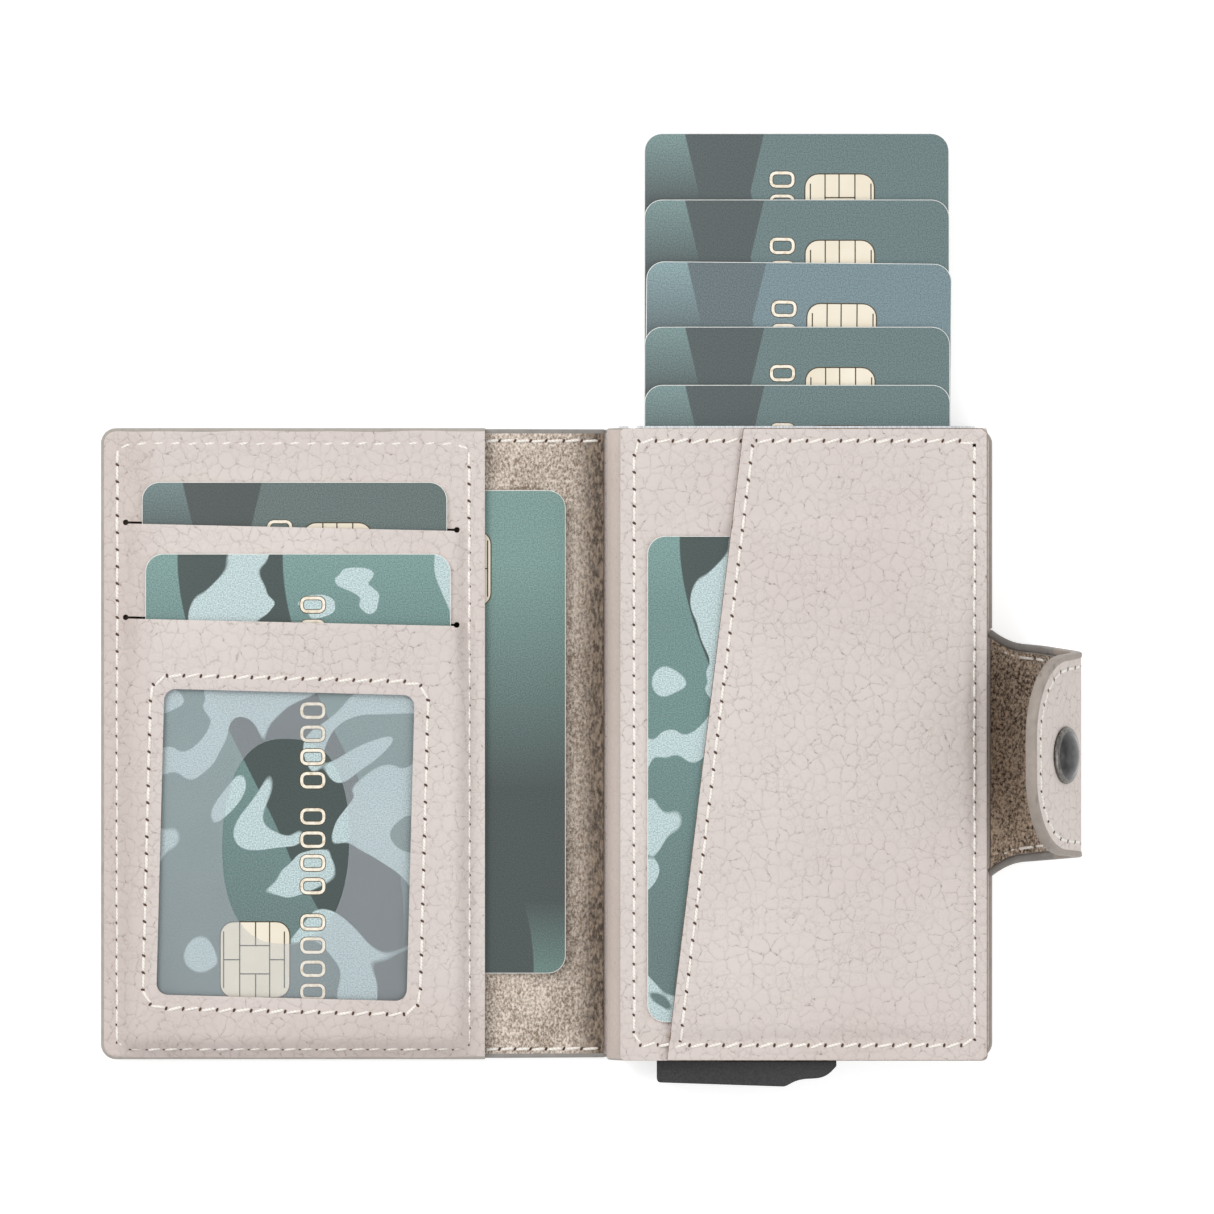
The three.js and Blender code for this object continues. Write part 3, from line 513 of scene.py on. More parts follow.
teal_print, dim_print, blue_print, fading_print, cloud_print = [
    card_print("offset_printed_pvc_" + name, *tones)
    for name, *tones in (("teal", "#87A1A0", "#758889", "#5F6C6B", "#6F8583", "#5C6465"),
                         ("dim", "#7C9090", "#6E7C7A", "#5F6C6B", "#6F8583", "#555B5A"),
                         ("blue", "#98B2B6", "#8499A0", "#6B7B80", "#7B8E93", "#6F7C80"),
                         ("fading", "#88A7A1", "#88A7A1", "#525A59", "#76908A", "#525A59"),
                         ("clouds", "#6C7978", "#748988", "#7C9B98", "#88A9A5", "#4E5957", 0.51))]
print("five card prints ready")


# %% [markdown]
# The rim of a card shows its white core. The chip's contacts are copper plated with pale gold and lightly
# brushed, with dark resin in the grooves between them, and the numbers are hot-stamped with cream foil.

# %% Card core, chip contacts and foil
card_core = mottled("white_pvc_card_core", "#DCDDD9", "#FBFBF8", 1.11, Roughness=0.5)
contacts = mottled("gold_plated_chip_contacts", "#E4D8BF", "#F8F1E2", 6.2,
                   relief=((4, 0.4, 1), 0.4, 0.2, 0.03), Metallic=0.1, Roughness=0.32)
groove = mottled("chip_resin_grooves", "#3E372B", "#645A48", 0.83, Roughness=0.6, Specular_IOR_Level=0.2)
foil = mottled("hot_stamped_cream_foil", "#FBF3E3", "#DCCBAE", 0.71, (0.45, 0.75), Roughness=0.35)
print("card finishes ready")


# %% [markdown]
# ### Window film
# The identity window is calendered vinyl film. It is clear but milky, so the card behind it looks greyer
# and softer than through the open thumb hole. The shader is partly see-through with a soft gloss.

# %% Film
FILM_ALPHA = 0.17
film_finish = mottled("calendered_vinyl_film_milky", "#C9D0D8", "#E2E7EC", 16.7, detail=3.0,
                      relief=((1, 1, 1), 9.1, 0.3, 0.3), Roughness=0.3, Specular_IOR_Level=0.3,
                      Alpha=FILM_ALPHA)
print("film alpha", FILM_ALPHA)


# %% [markdown]
# ### Metals, plastic and felt
# The case is brushed and anodised aluminium, the pivot pin ground steel, the snap brass plated in
# gunmetal, the lever moulded ABS with a fine spark-eroded texture, and the grips needle felt. Each gets a
# grain in the direction of its process and a little unevenness in its gloss.

# %% Hard finishes
def grained(name, dark, light, size, stretch, depth, rough, **sockets):
    """A finish of two close tones, with a grain of size millimetres drawn out by stretch."""
    material, tree = start_material(name)
    place = node(tree, "TexCoord", out="Object")
    drawn = node(tree, "Mapping", {"Vector": place, "Scale": stretch})
    grain = node(tree, "TexNoise", {"Vector": drawn, "Scale": 1000 / size, "Detail": 3.0})
    tone = node(tree, "MapRange", {0: grain, 1: 0.35, 2: 0.65, 3: 0.0, 4: 1.0})
    colour = node(tree, "Mix", {0: tone, 6: linear(dark), 7: linear(light)}, 2, data_type="RGBA")
    bump = node(tree, "Bump", {"Height": grain, "Strength": 0.5, "Distance": depth * MM})
    gloss = node(tree, "MapRange", {0: grain, 1: 0.3, 2: 0.7, 3: rough - 0.05, 4: rough + 0.08})
    end_material(tree, Base_Color=colour, Normal=bump, Roughness=gloss, **sockets)
    return material


aluminium = grained("brushed_anodised_aluminium", "#B9BCBF", "#D8DADC", 0.3, (1, 0.06, 1), 0.01,
                    0.3, Metallic=1.0)
pin_steel = grained("ground_steel_pin", "#9A9B9D", "#C4C5C7", 0.2, (1, 1, 0.2), 0.008, 0.28, Metallic=1.0)
gunmetal = grained("gunmetal_plated_brass", "#3B3A3B", "#4E4D4E", 1.5, (1, 1, 1), 0.002, 0.2, Metallic=1.0)
pale_rim = grained("gunmetal_plated_brass_worn_rim", "#5A5855", "#76736F", 0.8, (1, 1, 1), 0.004,
                   0.26, Metallic=1.0)
black_abs = grained("moulded_black_abs_spark_textured", "#2A292B", "#39393B", 0.35, (1, 1, 1), 0.02,
                    0.42, Specular_IOR_Level=0.35)
felt = grained("needle_felt_strip_charcoal", "#2B2B2D", "#67676B", 0.35, (1, 2.5, 1), 0.12,
               0.9, Specular_IOR_Level=0.1)
# The backing cloth is painted dark, as painted shade where it shows at the slits' ends.
backing_cloth_shade = grained("non_woven_backing_cloth", "#3B332C", "#5E5349", 0.4, (1, 1.6, 1), 0.06,
                        0.9, Specular_IOR_Level=0.1)
print("hard finishes ready")


# %% [markdown]
# ## How the pieces are made
# Blender's operators act on what is selected, and on the active object. These helpers select one object,
# read and move its points in millimetres, and run steps in edit mode, as a modeller does by hand.

# %% Select, merge, smooth and join
def only(obj):
    """Selects one object alone and makes it active."""
    bpy.ops.object.select_all(action="DESELECT")
    obj.select_set(True)
    bpy.context.view_layer.objects.active = obj


def points_of(obj):
    """The mesh's points as rows of millimetres."""
    flat = np.empty(len(obj.data.vertices) * 3)
    obj.data.vertices.foreach_get("co", flat)
    return flat.reshape(-1, 3) / MM


def put_points(obj, points):
    """Moves the mesh's points to rows of millimetres."""
    obj.data.vertices.foreach_set("co", (np.asarray(points, float) * MM).ravel())
    obj.data.update()


def in_edit(obj, *steps):
    """Runs steps in edit mode with everything selected."""
    only(obj)
    bpy.ops.object.mode_set(mode="EDIT")
    bpy.ops.mesh.select_all(action="SELECT")
    for step in steps:
        step()
    bpy.ops.object.mode_set(mode="OBJECT")


def outwards():
    """Turns all faces outwards, in edit mode."""
    bpy.ops.mesh.select_all(action="SELECT")
    bpy.ops.mesh.normals_make_consistent(inside=False)


def merge(apart=0.001):
    """Merges the points that lie less than apart millimetres from each other, in edit mode."""
    bpy.ops.mesh.select_all(action="SELECT")
    bpy.ops.mesh.remove_doubles(threshold=apart * MM)


def smooth(obj, angle=35):
    """Shades smooth, except where faces meet at more than angle degrees."""
    only(obj)
    bpy.ops.object.shade_smooth_by_angle(angle=math.radians(angle))
    return obj


def joined(name, pieces):
    """Joins pieces into one mesh with that name."""
    only(pieces[0])
    for piece in pieces:
        piece.select_set(True)
    if len(pieces) > 1:
        bpy.ops.object.join()
    obj = bpy.context.object
    obj.name = obj.data.name = name
    return obj


print("editing functions ready")


# %% [markdown]
# Most of this object is sheet, so most pieces start as a grid primitive. Each point of the grid goes to a
# place that a small function works out from its two shares, from 0 to 1, across and along. Flat parts with
# an outline start as a filled circle primitive whose points go onto the outline, and are extruded. Bars
# and beads are a grid rolled into a tube.

# %% Grids, plates and tubes
def grid(name, across, along, place):
    """A grid of cells whose points go where place puts their shares across and along. The primitive is
    one metre wide about its middle, so its points in metres plus a half are the shares."""
    bpy.ops.object.select_all(action="DESELECT")
    bpy.ops.mesh.primitive_grid_add(x_subdivisions=across, y_subdivisions=along, size=1)
    obj = bpy.context.object
    obj.name = obj.data.name = name
    shares = points_of(obj) * MM + 0.5
    put_points(obj, np.stack(np.broadcast_arrays(*place(shares[:, 0], shares[:, 1])), 1))
    return obj


def plate(name, outline, low, high):
    """A flat part: a filled circle put onto the outline at one height, extruded to the other."""
    bpy.ops.object.select_all(action="DESELECT")
    bpy.ops.mesh.primitive_circle_add(vertices=len(outline), radius=1, fill_type="NGON")
    obj = bpy.context.object
    obj.name = obj.data.name = name
    put_points(obj, [(x, y, low) for x, y in outline])
    rise = {"value": (0, 0, (high - low) * MM)}
    in_edit(obj, lambda: bpy.ops.mesh.extrude_region_move(TRANSFORM_OT_translate=rise), outwards)
    return obj


def tube(name, stations, section, closed=False):
    """A section carried along stations. A station is a point, the way out and the way up, and the
    section's points are distances out and up."""
    count, steps = len(section), len(stations)
    rows = steps if closed else steps - 1
    section = np.array(section)
    spots, outs, ups = (np.array([station[part] for station in stations], float) for part in range(3))

    def place(around, along):
        i = np.rint(around * count).astype(int) % count
        j = np.rint(along * rows).astype(int) % steps
        return (spots[j] + outs[j] * section[i, :1] + ups[j] * section[i, 1:]).T

    obj = grid(name, count, rows, place)
    fill = [] if closed else [lambda: bpy.ops.mesh.fill_holes(sides=0)]
    in_edit(obj, merge, *fill, outwards)
    return obj


print("starting shapes ready")


# %% [markdown]
# Modifiers then give thickness, soft edges and holes. Each is applied at once, so that the next step finds
# a plain mesh. Outlines of cards, film and cutters are rectangles with rounded corners.

# %% Modifiers, finishes and outlines
def apply(obj, kind, **settings):
    """Adds a modifier with its settings and applies it."""
    only(obj)
    modifier = obj.modifiers.new(kind, kind)
    for key, value in settings.items():
        setattr(modifier, key, value)
    bpy.ops.object.modifier_apply(modifier=modifier.name)
    return obj


def soften(obj, width, segments=2, angle=40):
    """Rounds the sharp edges and shades the rest smooth."""
    apply(obj, "BEVEL", width=width * MM, segments=segments, limit_method="ANGLE",
          angle_limit=math.radians(angle), use_clamp_overlap=True)
    return smooth(obj)


def cut(obj, cutter):
    """Cuts with another object, whose finish goes on the cut faces, and deletes it."""
    apply(obj, "BOOLEAN", object=cutter, operation="DIFFERENCE", solver="EXACT", material_mode="TRANSFER")
    bpy.data.objects.remove(cutter)
    return obj


def finish_with(obj, *materials):
    """Gives an object these materials and no others."""
    obj.data.materials.clear()
    for material in materials:
        obj.data.materials.append(material)
    return obj


def ease(value, start, stop):
    """A smooth step from 0 at start to 1 at stop."""
    share = np.clip((value - start) / (stop - start), 0, 1)
    return share * share * (3 - 2 * share)


def rounded(left, low, right, high, radius, steps=6):
    """Outline of a rectangle with rounded corners, anticlockwise."""
    corners = [(right - radius, high - radius, 0), (left + radius, high - radius, 90),
               (left + radius, low + radius, 180), (right - radius, low + radius, 270)]
    outline = []
    for x, y, start in corners:
        for step in range(steps + 1):
            angle = math.radians(start + 90 * step / steps)
            outline.append((x + radius * math.cos(angle), y + radius * math.sin(angle)))
    return outline


def turned(outline, centre, degrees):
    """An outline turned about the origin and moved to its centre."""
    c, s = math.cos(math.radians(degrees)), math.sin(math.radians(degrees))
    return [(centre[0] + x * c - y * s, centre[1] + x * s + y * c) for x, y in outline]


print("modelling functions ready")


# %% [markdown]
# ## Jacket
# One piece of leather runs under the card case, through the spine and over the cover. Here it is two
# sheets that meet without a seam in the middle of the spine, because a sheet can bend at one fold only.
# Each is a grid with a rounded outline, thickened by Solidify, and its rim takes the edge paint. The
# height of the sheet's middle falls from the cover to the case over the spine's length. The rim's bevel
# is narrow where the outline turns, so points that fall together there are merged.

# %% Heights and outlines of the sheets
BEND_SOFT = 2
ROW_CROWD, CROWD_REACH = 14, 0.35


def jacket_middle(x):
    """Height of the jacket's middle plane: under the case, up the spine, under the cover. It is the mean
    over a few millimetres, which rounds the two bends."""
    total = 0
    shifts = np.linspace(-BEND_SOFT, BEND_SOFT, 9)
    for shift in shifts:
        share = np.clip((SPINE_FOLD - (x + shift)) / (SPINE_FOLD - COVER_FOLD), 0, 1)
        total = total + LEATHER / 2 + COVER_LIFT * share
    return total / len(shifts)


def corner_reach(x, left, right, half, radius):
    """Half the height of a sheet at x, where its outer corners are rounded. None leaves a side square."""
    reach = np.full(np.shape(x), half, float)
    for side, sign in ((left, 1), (right, -1)):
        if side is not None:
            into = np.clip(radius - sign * (x - side), 0, radius)
            reach = np.minimum(reach, half - radius + np.sqrt(radius ** 2 - into ** 2))
    return reach


def spread(share, left, right, crowd_left, crowd_right, radius):
    """Places across a sheet, closer together at the rounded sides."""
    spots = np.linspace(left, right, 400)
    density = np.ones(len(spots))
    for crowd, side in ((crowd_left, left), (crowd_right, right)):
        if crowd:
            density += ROW_CROWD * np.exp(-np.abs(spots - side) / (CROWD_REACH * radius))
    total = np.concatenate([[0], np.cumsum(density)[:-1]])
    return np.interp(share * total[-1], total, spots)


def flat_sheet(name, left, right, half, radius, middle, cells, sides=(True, False), thick=LEATHER):
    """A sheet from left to right at the height that middle gives, thickened about its middle."""
    edges = (left if sides[0] else None, right if sides[1] else None)

    def place(u, v):
        x = spread(u, left, right, *sides, radius)
        y = (2 * v - 1) * corner_reach(x, *edges, half, radius)
        return x, y, middle(x, y)

    sheet = grid(name, *cells, place)
    finish_with(sheet, hide, edge_paint)
    apply(sheet, "SOLIDIFY", thickness=thick * MM, offset=0, use_even_offset=True, material_offset_rim=1)
    return sheet


def round_rim(obj, width, keep, segments=3):
    """Bevels the sharp edges of a sheet except those that keep names, such as a hidden joint."""
    only(obj)
    bpy.ops.object.mode_set(mode="EDIT")
    bpy.ops.mesh.select_mode(type="EDGE")
    bpy.ops.mesh.select_all(action="DESELECT")
    mesh = bmesh.from_edit_mesh(obj.data)
    for edge in mesh.edges:
        sharp = len(edge.link_faces) == 2 and edge.calc_face_angle(0) > math.radians(40)
        middle = (edge.verts[0].co + edge.verts[1].co) / (2 * MM)
        edge.select_set(bool(sharp and not keep(middle)))
    bmesh.update_edit_mesh(obj.data)
    bpy.ops.mesh.bevel(offset=width * MM, segments=segments, affect="EDGES", clamp_overlap=True)
    merge()
    bpy.ops.object.mode_set(mode="OBJECT")
    return smooth(obj)


def at_the_joint(spot):
    """True near the middle of the spine, where two sheets meet and no edge shows."""
    return abs(spot.x - MID_SPINE) < 0.3


print("sheet functions ready")


# %% [markdown]
# The jacket's leather is two sheets that meet in the middle of the spine, one for the cover's side and one
# for the case's side. Their rims are rounded, except where they meet.

# %% Jacket sheets
sheet_left, sheet_half = COVER_LEFT + PAINT_INSET, HALF_TALL - PAINT_INSET
jacket_left = flat_sheet("jacket_leather_cover", sheet_left, MID_SPINE, sheet_half, CORNER,
                         lambda x, y: jacket_middle(x), (70, 60))
jacket_right = flat_sheet("jacket_leather_case", MID_SPINE, JACKET_RIGHT, sheet_half, CORNER,
                          lambda x, y: jacket_middle(x), (70, 60), sides=(False, True))
for sheet in (jacket_left, jacket_right):
    round_rim(sheet, 0.25, at_the_joint)
print("jacket faces", len(jacket_left.data.polygons), len(jacket_right.data.polygons))


# %% [markdown]
# The suede lining lies on the leather's inner side. It shows on the spine, between the cover's panel and
# the case, where it is a little narrower than the leather.

# %% Suede lining
def lining_middle(x, y):
    """Height of the lining's middle plane, on the leather."""
    return jacket_middle(x) + LEATHER / 2 + LAYER_GAP + LINING / 2


lining_left = flat_sheet("suede_lining_cover", sheet_left, MID_SPINE, sheet_half, CORNER,
                         lining_middle, (50, 60), thick=LINING)
lining_right = flat_sheet("suede_lining_case", MID_SPINE, SPINE_FOLD + LINING_END, sheet_half, CORNER,
                          lining_middle, (20, 60), sides=(False, False), thick=LINING)
for sheet in (lining_left, lining_right):
    finish_with(sheet, spine_suede, edge_paint)
    round_rim(sheet, 0.12, at_the_joint, segments=2)
print("lining faces", len(lining_left.data.polygons), len(lining_right.data.polygons))


# %% [markdown]
# ## Cover pocket
# The cover's inner face is one sheet of leather over the cards. It has two slits and a window, and lies
# higher where cards and leather are under it. The grid's rows follow the two slanting slits, so both lips
# of a slit get their own height. Slits, eyelets and window are then cut through the thickened sheet.

# %% Heights of the pocket panel
SLIT_TILT = 1.3
SLIT_FROM, SLIT_TO = 4.3, 62.9
UPPER_SLIT, LOWER_SLIT = 38.5, 21.7
PANEL_THICK = 0.6
LEVELS = {"margin": 2.9, "middle": 4.45, "low": 6.16}
SLIT_HALF = 0.22
SLIT_ZONE = 0.4
LUMP = 0.05
SIDE_CARD_RISE = 0.12
panel_wide = PANEL_RIGHT - COVER_LEFT
slit_middle = (SLIT_FROM + SLIT_TO) / 2


def slit_line(local_x, y):
    """Y of a slanting slit at a distance from the cover's edge."""
    return y - math.tan(math.radians(SLIT_TILT)) * (local_x - slit_middle)


def panel_top(x, y):
    """Height of the panel's upper face in the wallet's frame. The leather rises from its sewn margins to
    the cards over a few millimetres, differently beside the slits and beside the window."""
    local = x - COVER_LEFT
    by_slits = ease(local, 3.8, 6.9) * (1 - ease(local, panel_wide - 5.6, panel_wide - 2.8))
    by_window = ease(local, 2.0, 6.75) * (1 - ease(local, panel_wide - 5.8, panel_wide - 1.2))
    across = by_window + (by_slits - by_window) * ease(y, LOWER_SLIT - 14, LOWER_SLIT - 2)
    middle_rise, low_rise = (LEVELS[name] - LEVELS["margin"] for name in ("middle", "low"))
    level = np.where(y > slit_line(local, LOWER_SLIT), middle_rise, low_rise)
    level = np.where(y > slit_line(local, UPPER_SLIT), 0.0, level)
    level = level * ease(y, -HALF_TALL + 0.2, -HALF_TALL + 4.2)
    lump = LUMP * np.sin(0.31 * x + 0.17 * y) * np.sin(0.23 * y - 0.11 * x)
    side_card = SIDE_CARD_RISE * ease(local, 18, 22) * ease(y, -43, -40) * (1 - ease(y, 44.5, 46.5))
    return COVER_LIFT + LEVELS["margin"] + PANEL_THICK + level * across + (lump + side_card) * across


row_breaks = [-sheet_half, LOWER_SLIT - SLIT_HALF, LOWER_SLIT + SLIT_HALF, UPPER_SLIT - SLIT_HALF,
              UPPER_SLIT + SLIT_HALF, sheet_half]
row_counts = [92, 1, 20, 1, 20]
rows = np.array([-sheet_half] + [row for start, stop, count in zip(row_breaks, row_breaks[1:], row_counts)
                                 for row in np.linspace(start, stop, count + 1)[1:]])


def panel_place(u, v):
    """Places of the panel's grid. Rows beside a slit take the height of their own side of it."""
    x = spread(u, sheet_left, PANEL_RIGHT, True, False, CORNER)
    index = np.rint(v * (len(rows) - 1)).astype(int)
    y = rows[index]
    lean = np.interp(y, [-sheet_half, LOWER_SLIT, UPPER_SLIT, sheet_half], [0, 1, 1, 0])
    y = y + lean * (slit_line(x - COVER_LEFT, 0))
    reach = corner_reach(x, sheet_left, None, sheet_half, CORNER)
    y = np.clip(y, -sheet_half, sheet_half) * reach / sheet_half
    nudge = 0
    for slit in (LOWER_SLIT, UPPER_SLIT):
        beside = rows[index] - slit
        nudge = nudge + np.where(np.abs(beside) < SLIT_ZONE, np.sign(beside) * 0.01, 0)
    return x, y, panel_top(x, y + nudge) - PANEL_THICK / 2


panel = grid("pocket_panel_leather", 96, len(rows) - 1, panel_place)
finish_with(panel, hide, edge_paint)
apply(panel, "SOLIDIFY", thickness=PANEL_THICK * MM, offset=0, use_even_offset=False, material_offset_rim=1)
print("panel cells", len(panel.data.polygons))


# %% [markdown]
# The window is a rounded rectangle turned by a degree and a half, and each slit ends in a punched eyelet.
# The eyelets are cut first and the slit's bar after them, so that the bar's ends lie in open air. The bar
# is a hair narrower than the rows beside the slit, because a boolean cuts badly where faces coincide. The
# cutters carry the finish of die-cut leather, so the fresh edges get it.

# %% Cut slits, eyelets and window
WINDOW_TILT = -1.5
window_wide, window_tall = 44.2, 54.0
window_centre = (COVER_LEFT + 10.6 + window_wide / 2, LOWER_SLIT - 12.5 - window_tall / 2)
EYELET_HALF = 0.5
EYELET_CORNER = 0.46
BAR_CORNER = 0.15
BAR_PLAY = 0.02


def window_outline(margin, radius, steps=6):
    """The window's outline, larger by a margin all round."""
    half_wide, half_tall = window_wide / 2 + margin, window_tall / 2 + margin
    flat = rounded(-half_wide, -half_tall, half_wide, half_tall, radius, steps)
    return turned(flat, window_centre, WINDOW_TILT)


def punch(obj, outline, finish):
    """Cuts an outline through a piece of the cover."""
    return cut(obj, finish_with(plate("cutter", outline, 2, 12), finish))


eyelet = rounded(-EYELET_HALF, -EYELET_HALF, EYELET_HALF, EYELET_HALF, EYELET_CORNER, 4)
bar_long, bar_half = (SLIT_TO - SLIT_FROM) / 2, SLIT_HALF - BAR_PLAY
bar = rounded(-bar_long, -bar_half, bar_long, bar_half, BAR_CORNER, 2)
for slit in (UPPER_SLIT, LOWER_SLIT):
    for end in (SLIT_FROM, SLIT_TO):
        punch(panel, turned(eyelet, (COVER_LEFT + end, slit_line(end, slit)), 0), raw_cut)
    punch(panel, turned(bar, (COVER_LEFT + slit_middle, slit), -SLIT_TILT), raw_cut)
punch(panel, window_outline(0, 2.0), raw_cut)
heights = points_of(panel)[:, 2]
print("panel between", round(heights.min(), 2), "and", round(heights.max(), 2))
soften(panel, 0.1, 2, 50)
print("panel faces", len(panel.data.polygons))


# %% [markdown]
# A backing sheet closes the pocket behind the cards. Its rim is built up to the panel, as the turned and
# glued margin of the real one is. Only its edge can be seen, in the painted edge.

# %% Backing sheet
BACKING_THICK = 0.3
backing_top = box_of("slot_backing")[1][2]
backing = flat_sheet("slot_backing_cloth", sheet_left, PANEL_RIGHT, sheet_half, CORNER,
                     lambda x, y: 0 * x + backing_top - BACKING_THICK / 2, (60, 60), thick=BACKING_THICK)
# Its dark cloth is painted shade where it shows through the slits' ends.
finish_with(backing, backing_cloth_shade, edge_paint)
round_rim(backing, 0.05, lambda spot: False, 1)
print("backing at", round(backing_top, 2))


# %% [markdown]
# ### Painted edges
# All layers of the cover are glued, sanded and painted together, which leaves one rounded band. It is a
# grid rolled into a tube and run round the outline. The thinner band of the spine and of the case's
# leather is made the same way.

# %% Section and path of a band
def circle(count):
    """Cosines and sines of points evenly round a circle."""
    angles = [2 * math.pi * step / count for step in range(count)]
    return [(math.cos(angle), math.sin(angle)) for angle in angles]


def band_section(thick, bulge=0.35, inside=0.5):
    """A rounded upright section, out from the leather's edge and up about its middle."""
    section = []
    for c, s in circle(16):
        wide = bulge if c > 0 else inside
        section.append((wide * math.copysign(abs(c) ** 0.8, c),
                        (thick / 2 + 0.04) * math.copysign(abs(s) ** 0.45, s)))
    return section


def outline_stations(corners, radius, heights, step=1.5):
    """Stations along a line with rounded corners, with the way out to its right hand side. A corner
    becomes a quarter circle, and every stretch gets a station each step millimetres."""
    path = []
    for index, corner in enumerate(corners):
        here = np.array(corner, float)
        if index in (0, len(corners) - 1):
            path.append(here)
            continue
        before = here - np.array(corners[index - 1], float)
        after = np.array(corners[index + 1], float) - here
        before, after = before / np.linalg.norm(before), after / np.linalg.norm(after)
        start, stop = here - before * radius, here + after * radius
        centre = start + after * radius
        for share in np.linspace(0, 1, 9):
            angle = share * math.pi / 2
            path.append(centre - after * radius * math.cos(angle) + before * radius * math.sin(angle))
    fine = [path[0]]
    for start, stop in zip(path, path[1:]):
        count = max(1, int(np.linalg.norm(stop - start) / step))
        fine += [start + (stop - start) * i / count for i in range(1, count + 1)]
    fine = np.array(fine)
    way = np.gradient(fine, axis=0)
    way /= np.linalg.norm(way, axis=1)[:, None]
    return [((x, y, heights(x)), (dy, -dx, 0), (0, 0, 1)) for (x, y), (dx, dy) in zip(fine, way)]


print("band of the jacket's edge is", len(band_section(LEATHER)), "points round")


# %% [markdown]
# The cover has one thick band round three sides. Along the spine a thinner and worn one follows the bends,
# and the case's leather has its own from the spine to the sewn tab.

# %% Edge bands
cover_thick = LEVELS["margin"] + PANEL_THICK
cover_corners = [(PANEL_RIGHT, sheet_half), (sheet_left, sheet_half), (sheet_left, -sheet_half),
                 (PANEL_RIGHT, -sheet_half)]
cover_band = tube("edge_paint_cover",
                  outline_stations(cover_corners, CORNER, lambda x: COVER_LIFT + cover_thick / 2),
                  [(-out, up) for out, up in band_section(cover_thick)])


def spine_height(x):
    """Height of the middle of leather and lining together."""
    return float(jacket_middle(np.array(x))) + (LAYER_GAP + LINING) / 2


TAB_HALF = 21.4
ENDS = (("top", 1), ("foot", -1))
bands = [cover_band]
for name, start, stop in (("cover", PANEL_RIGHT - 0.5, MID_SPINE), ("case", MID_SPINE, SPINE_FOLD + 0.8)):
    for end, sign in ENDS:
        y = sign * sheet_half
        stations = outline_stations([(start, y), (stop, y)], 1, spine_height, 0.7)
        stations = [(p, (0, sign, 0), u) for p, _, u in stations]
        section = band_section(LEATHER + LAYER_GAP + LINING, 0.35, 0.85)
        bands.append(tube(f"edge_paint_spine_{name}_{end}", stations, section))
for end, sign in ENDS:
    corners = [(SPINE_FOLD + 0.3, sign * sheet_half), (JACKET_RIGHT, sign * sheet_half),
               (JACKET_RIGHT, -1 + sign * TAB_HALF)]
    stations = outline_stations(corners, CORNER, lambda x: LEATHER / 2)
    stations = [(p, (-sign * o[0], -sign * o[1], 0), u) for p, o, u in stations]
    bands.append(tube(f"edge_paint_case_{end}", stations, band_section(LEATHER, 0.3, 0.5)))
for band in bands:
    smooth(finish_with(band, worn_paint if "spine" in band.name else edge_paint), 50)
print("bands", len(bands))


# %% [markdown]
# ## Window film
# A sheet of film is sewn in behind the window, with a thumb hole to push the card up. The hole is an oval
# with full, rounded sides, a superellipse, so it is drawn with powers of the sine and cosine.

# %% Film sheet
HOLE_HALF_WIDE, HOLE_HALF_TALL = 11.2, 18.1
HOLE_UP = 0.6
film_low, film_high = box_of("window_film")
film = plate("window_film_sheet", window_outline(3.2, 3.6), film_low[2], film_high[2])
finish_with(film, film_finish)
thumb_hole = [(HOLE_HALF_WIDE * math.copysign(abs(c) ** 0.78, c),
               HOLE_UP + HOLE_HALF_TALL * math.copysign(abs(s) ** 0.9, s)) for c, s in circle(64)]
punch(film, turned(thumb_hole, window_centre, WINDOW_TILT), film_finish)
soften(film, 0.04, 2, 50)
print("film faces", len(film.data.polygons))


# %% [markdown]
# ## Cards
# One card is modelled once: a rounded plate with softened edges, whose flat faces take the print and whose
# rim shows the white core. Its chip is a thin gold plate with resin grooves between the contacts, and a
# column of stamped noughts stands for its number. Every card is a copy of these, moved to the place of
# its part and turned as it lies.

# %% Card pattern pieces
CARD_WIDE, CARD_TALL, CARD_THICK = 53.98, 85.6, 0.76
CARD_CORNER = 3.18
half_wide, half_tall = CARD_WIDE / 2, CARD_TALL / 2
card_outline = rounded(-half_wide, -half_tall, half_wide, half_tall, CARD_CORNER, 8)
card_shape = finish_with(plate("card_pattern", card_outline, 0, CARD_THICK), teal_print, card_core)
soften(card_shape, 0.12)
for face in card_shape.data.polygons:
    face.material_index = 0 if abs(face.normal.z) > 0.95 else 1
map_layer = card_shape.data.uv_layers.new(name="print_map")
for corner in card_shape.data.loops:
    spot = card_shape.data.vertices[corner.vertex_index].co
    map_layer.data[corner.index].uv = (spot.x / (CARD_MAP * MM), spot.y / (CARD_MAP * MM))

CHIP_LEFT, CHIP_RIGHT, CHIP_TOP, CHIP_FOOT = 1.45, 13.75, 35.6, 22.2
GROOVE_HALF = 0.11
chip_outline = rounded(CHIP_LEFT, CHIP_FOOT, CHIP_RIGHT, CHIP_TOP, 2.4, 6)
chip_shape = plate("chip_pattern", chip_outline, CARD_THICK - 0.1, CARD_THICK + 0.03)
finish_with(soften(chip_shape, 0.02, 1), contacts)
groove_lines = [(2.42, 24.0, 2.42, 33.8), (5.02, 31.4, 5.02, 35.5), (7.5, 31.4, 7.5, 35.5),
                (10.31, 31.4, 10.31, 35.5), (13.15, 24.0, 13.15, 33.8), (5.02, 22.3, 5.02, 26.4),
                (7.5, 22.3, 7.5, 26.4), (10.31, 22.3, 10.31, 26.4), (5.02, 31.4, 10.31, 31.4),
                (5.02, 26.4, 10.31, 26.4), (5.02, 26.4, 5.02, 31.4), (10.31, 26.4, 10.31, 31.4),
                (2.42, 28.9, 5.02, 28.9), (10.31, 28.9, 13.15, 28.9)]
groove_pieces = []
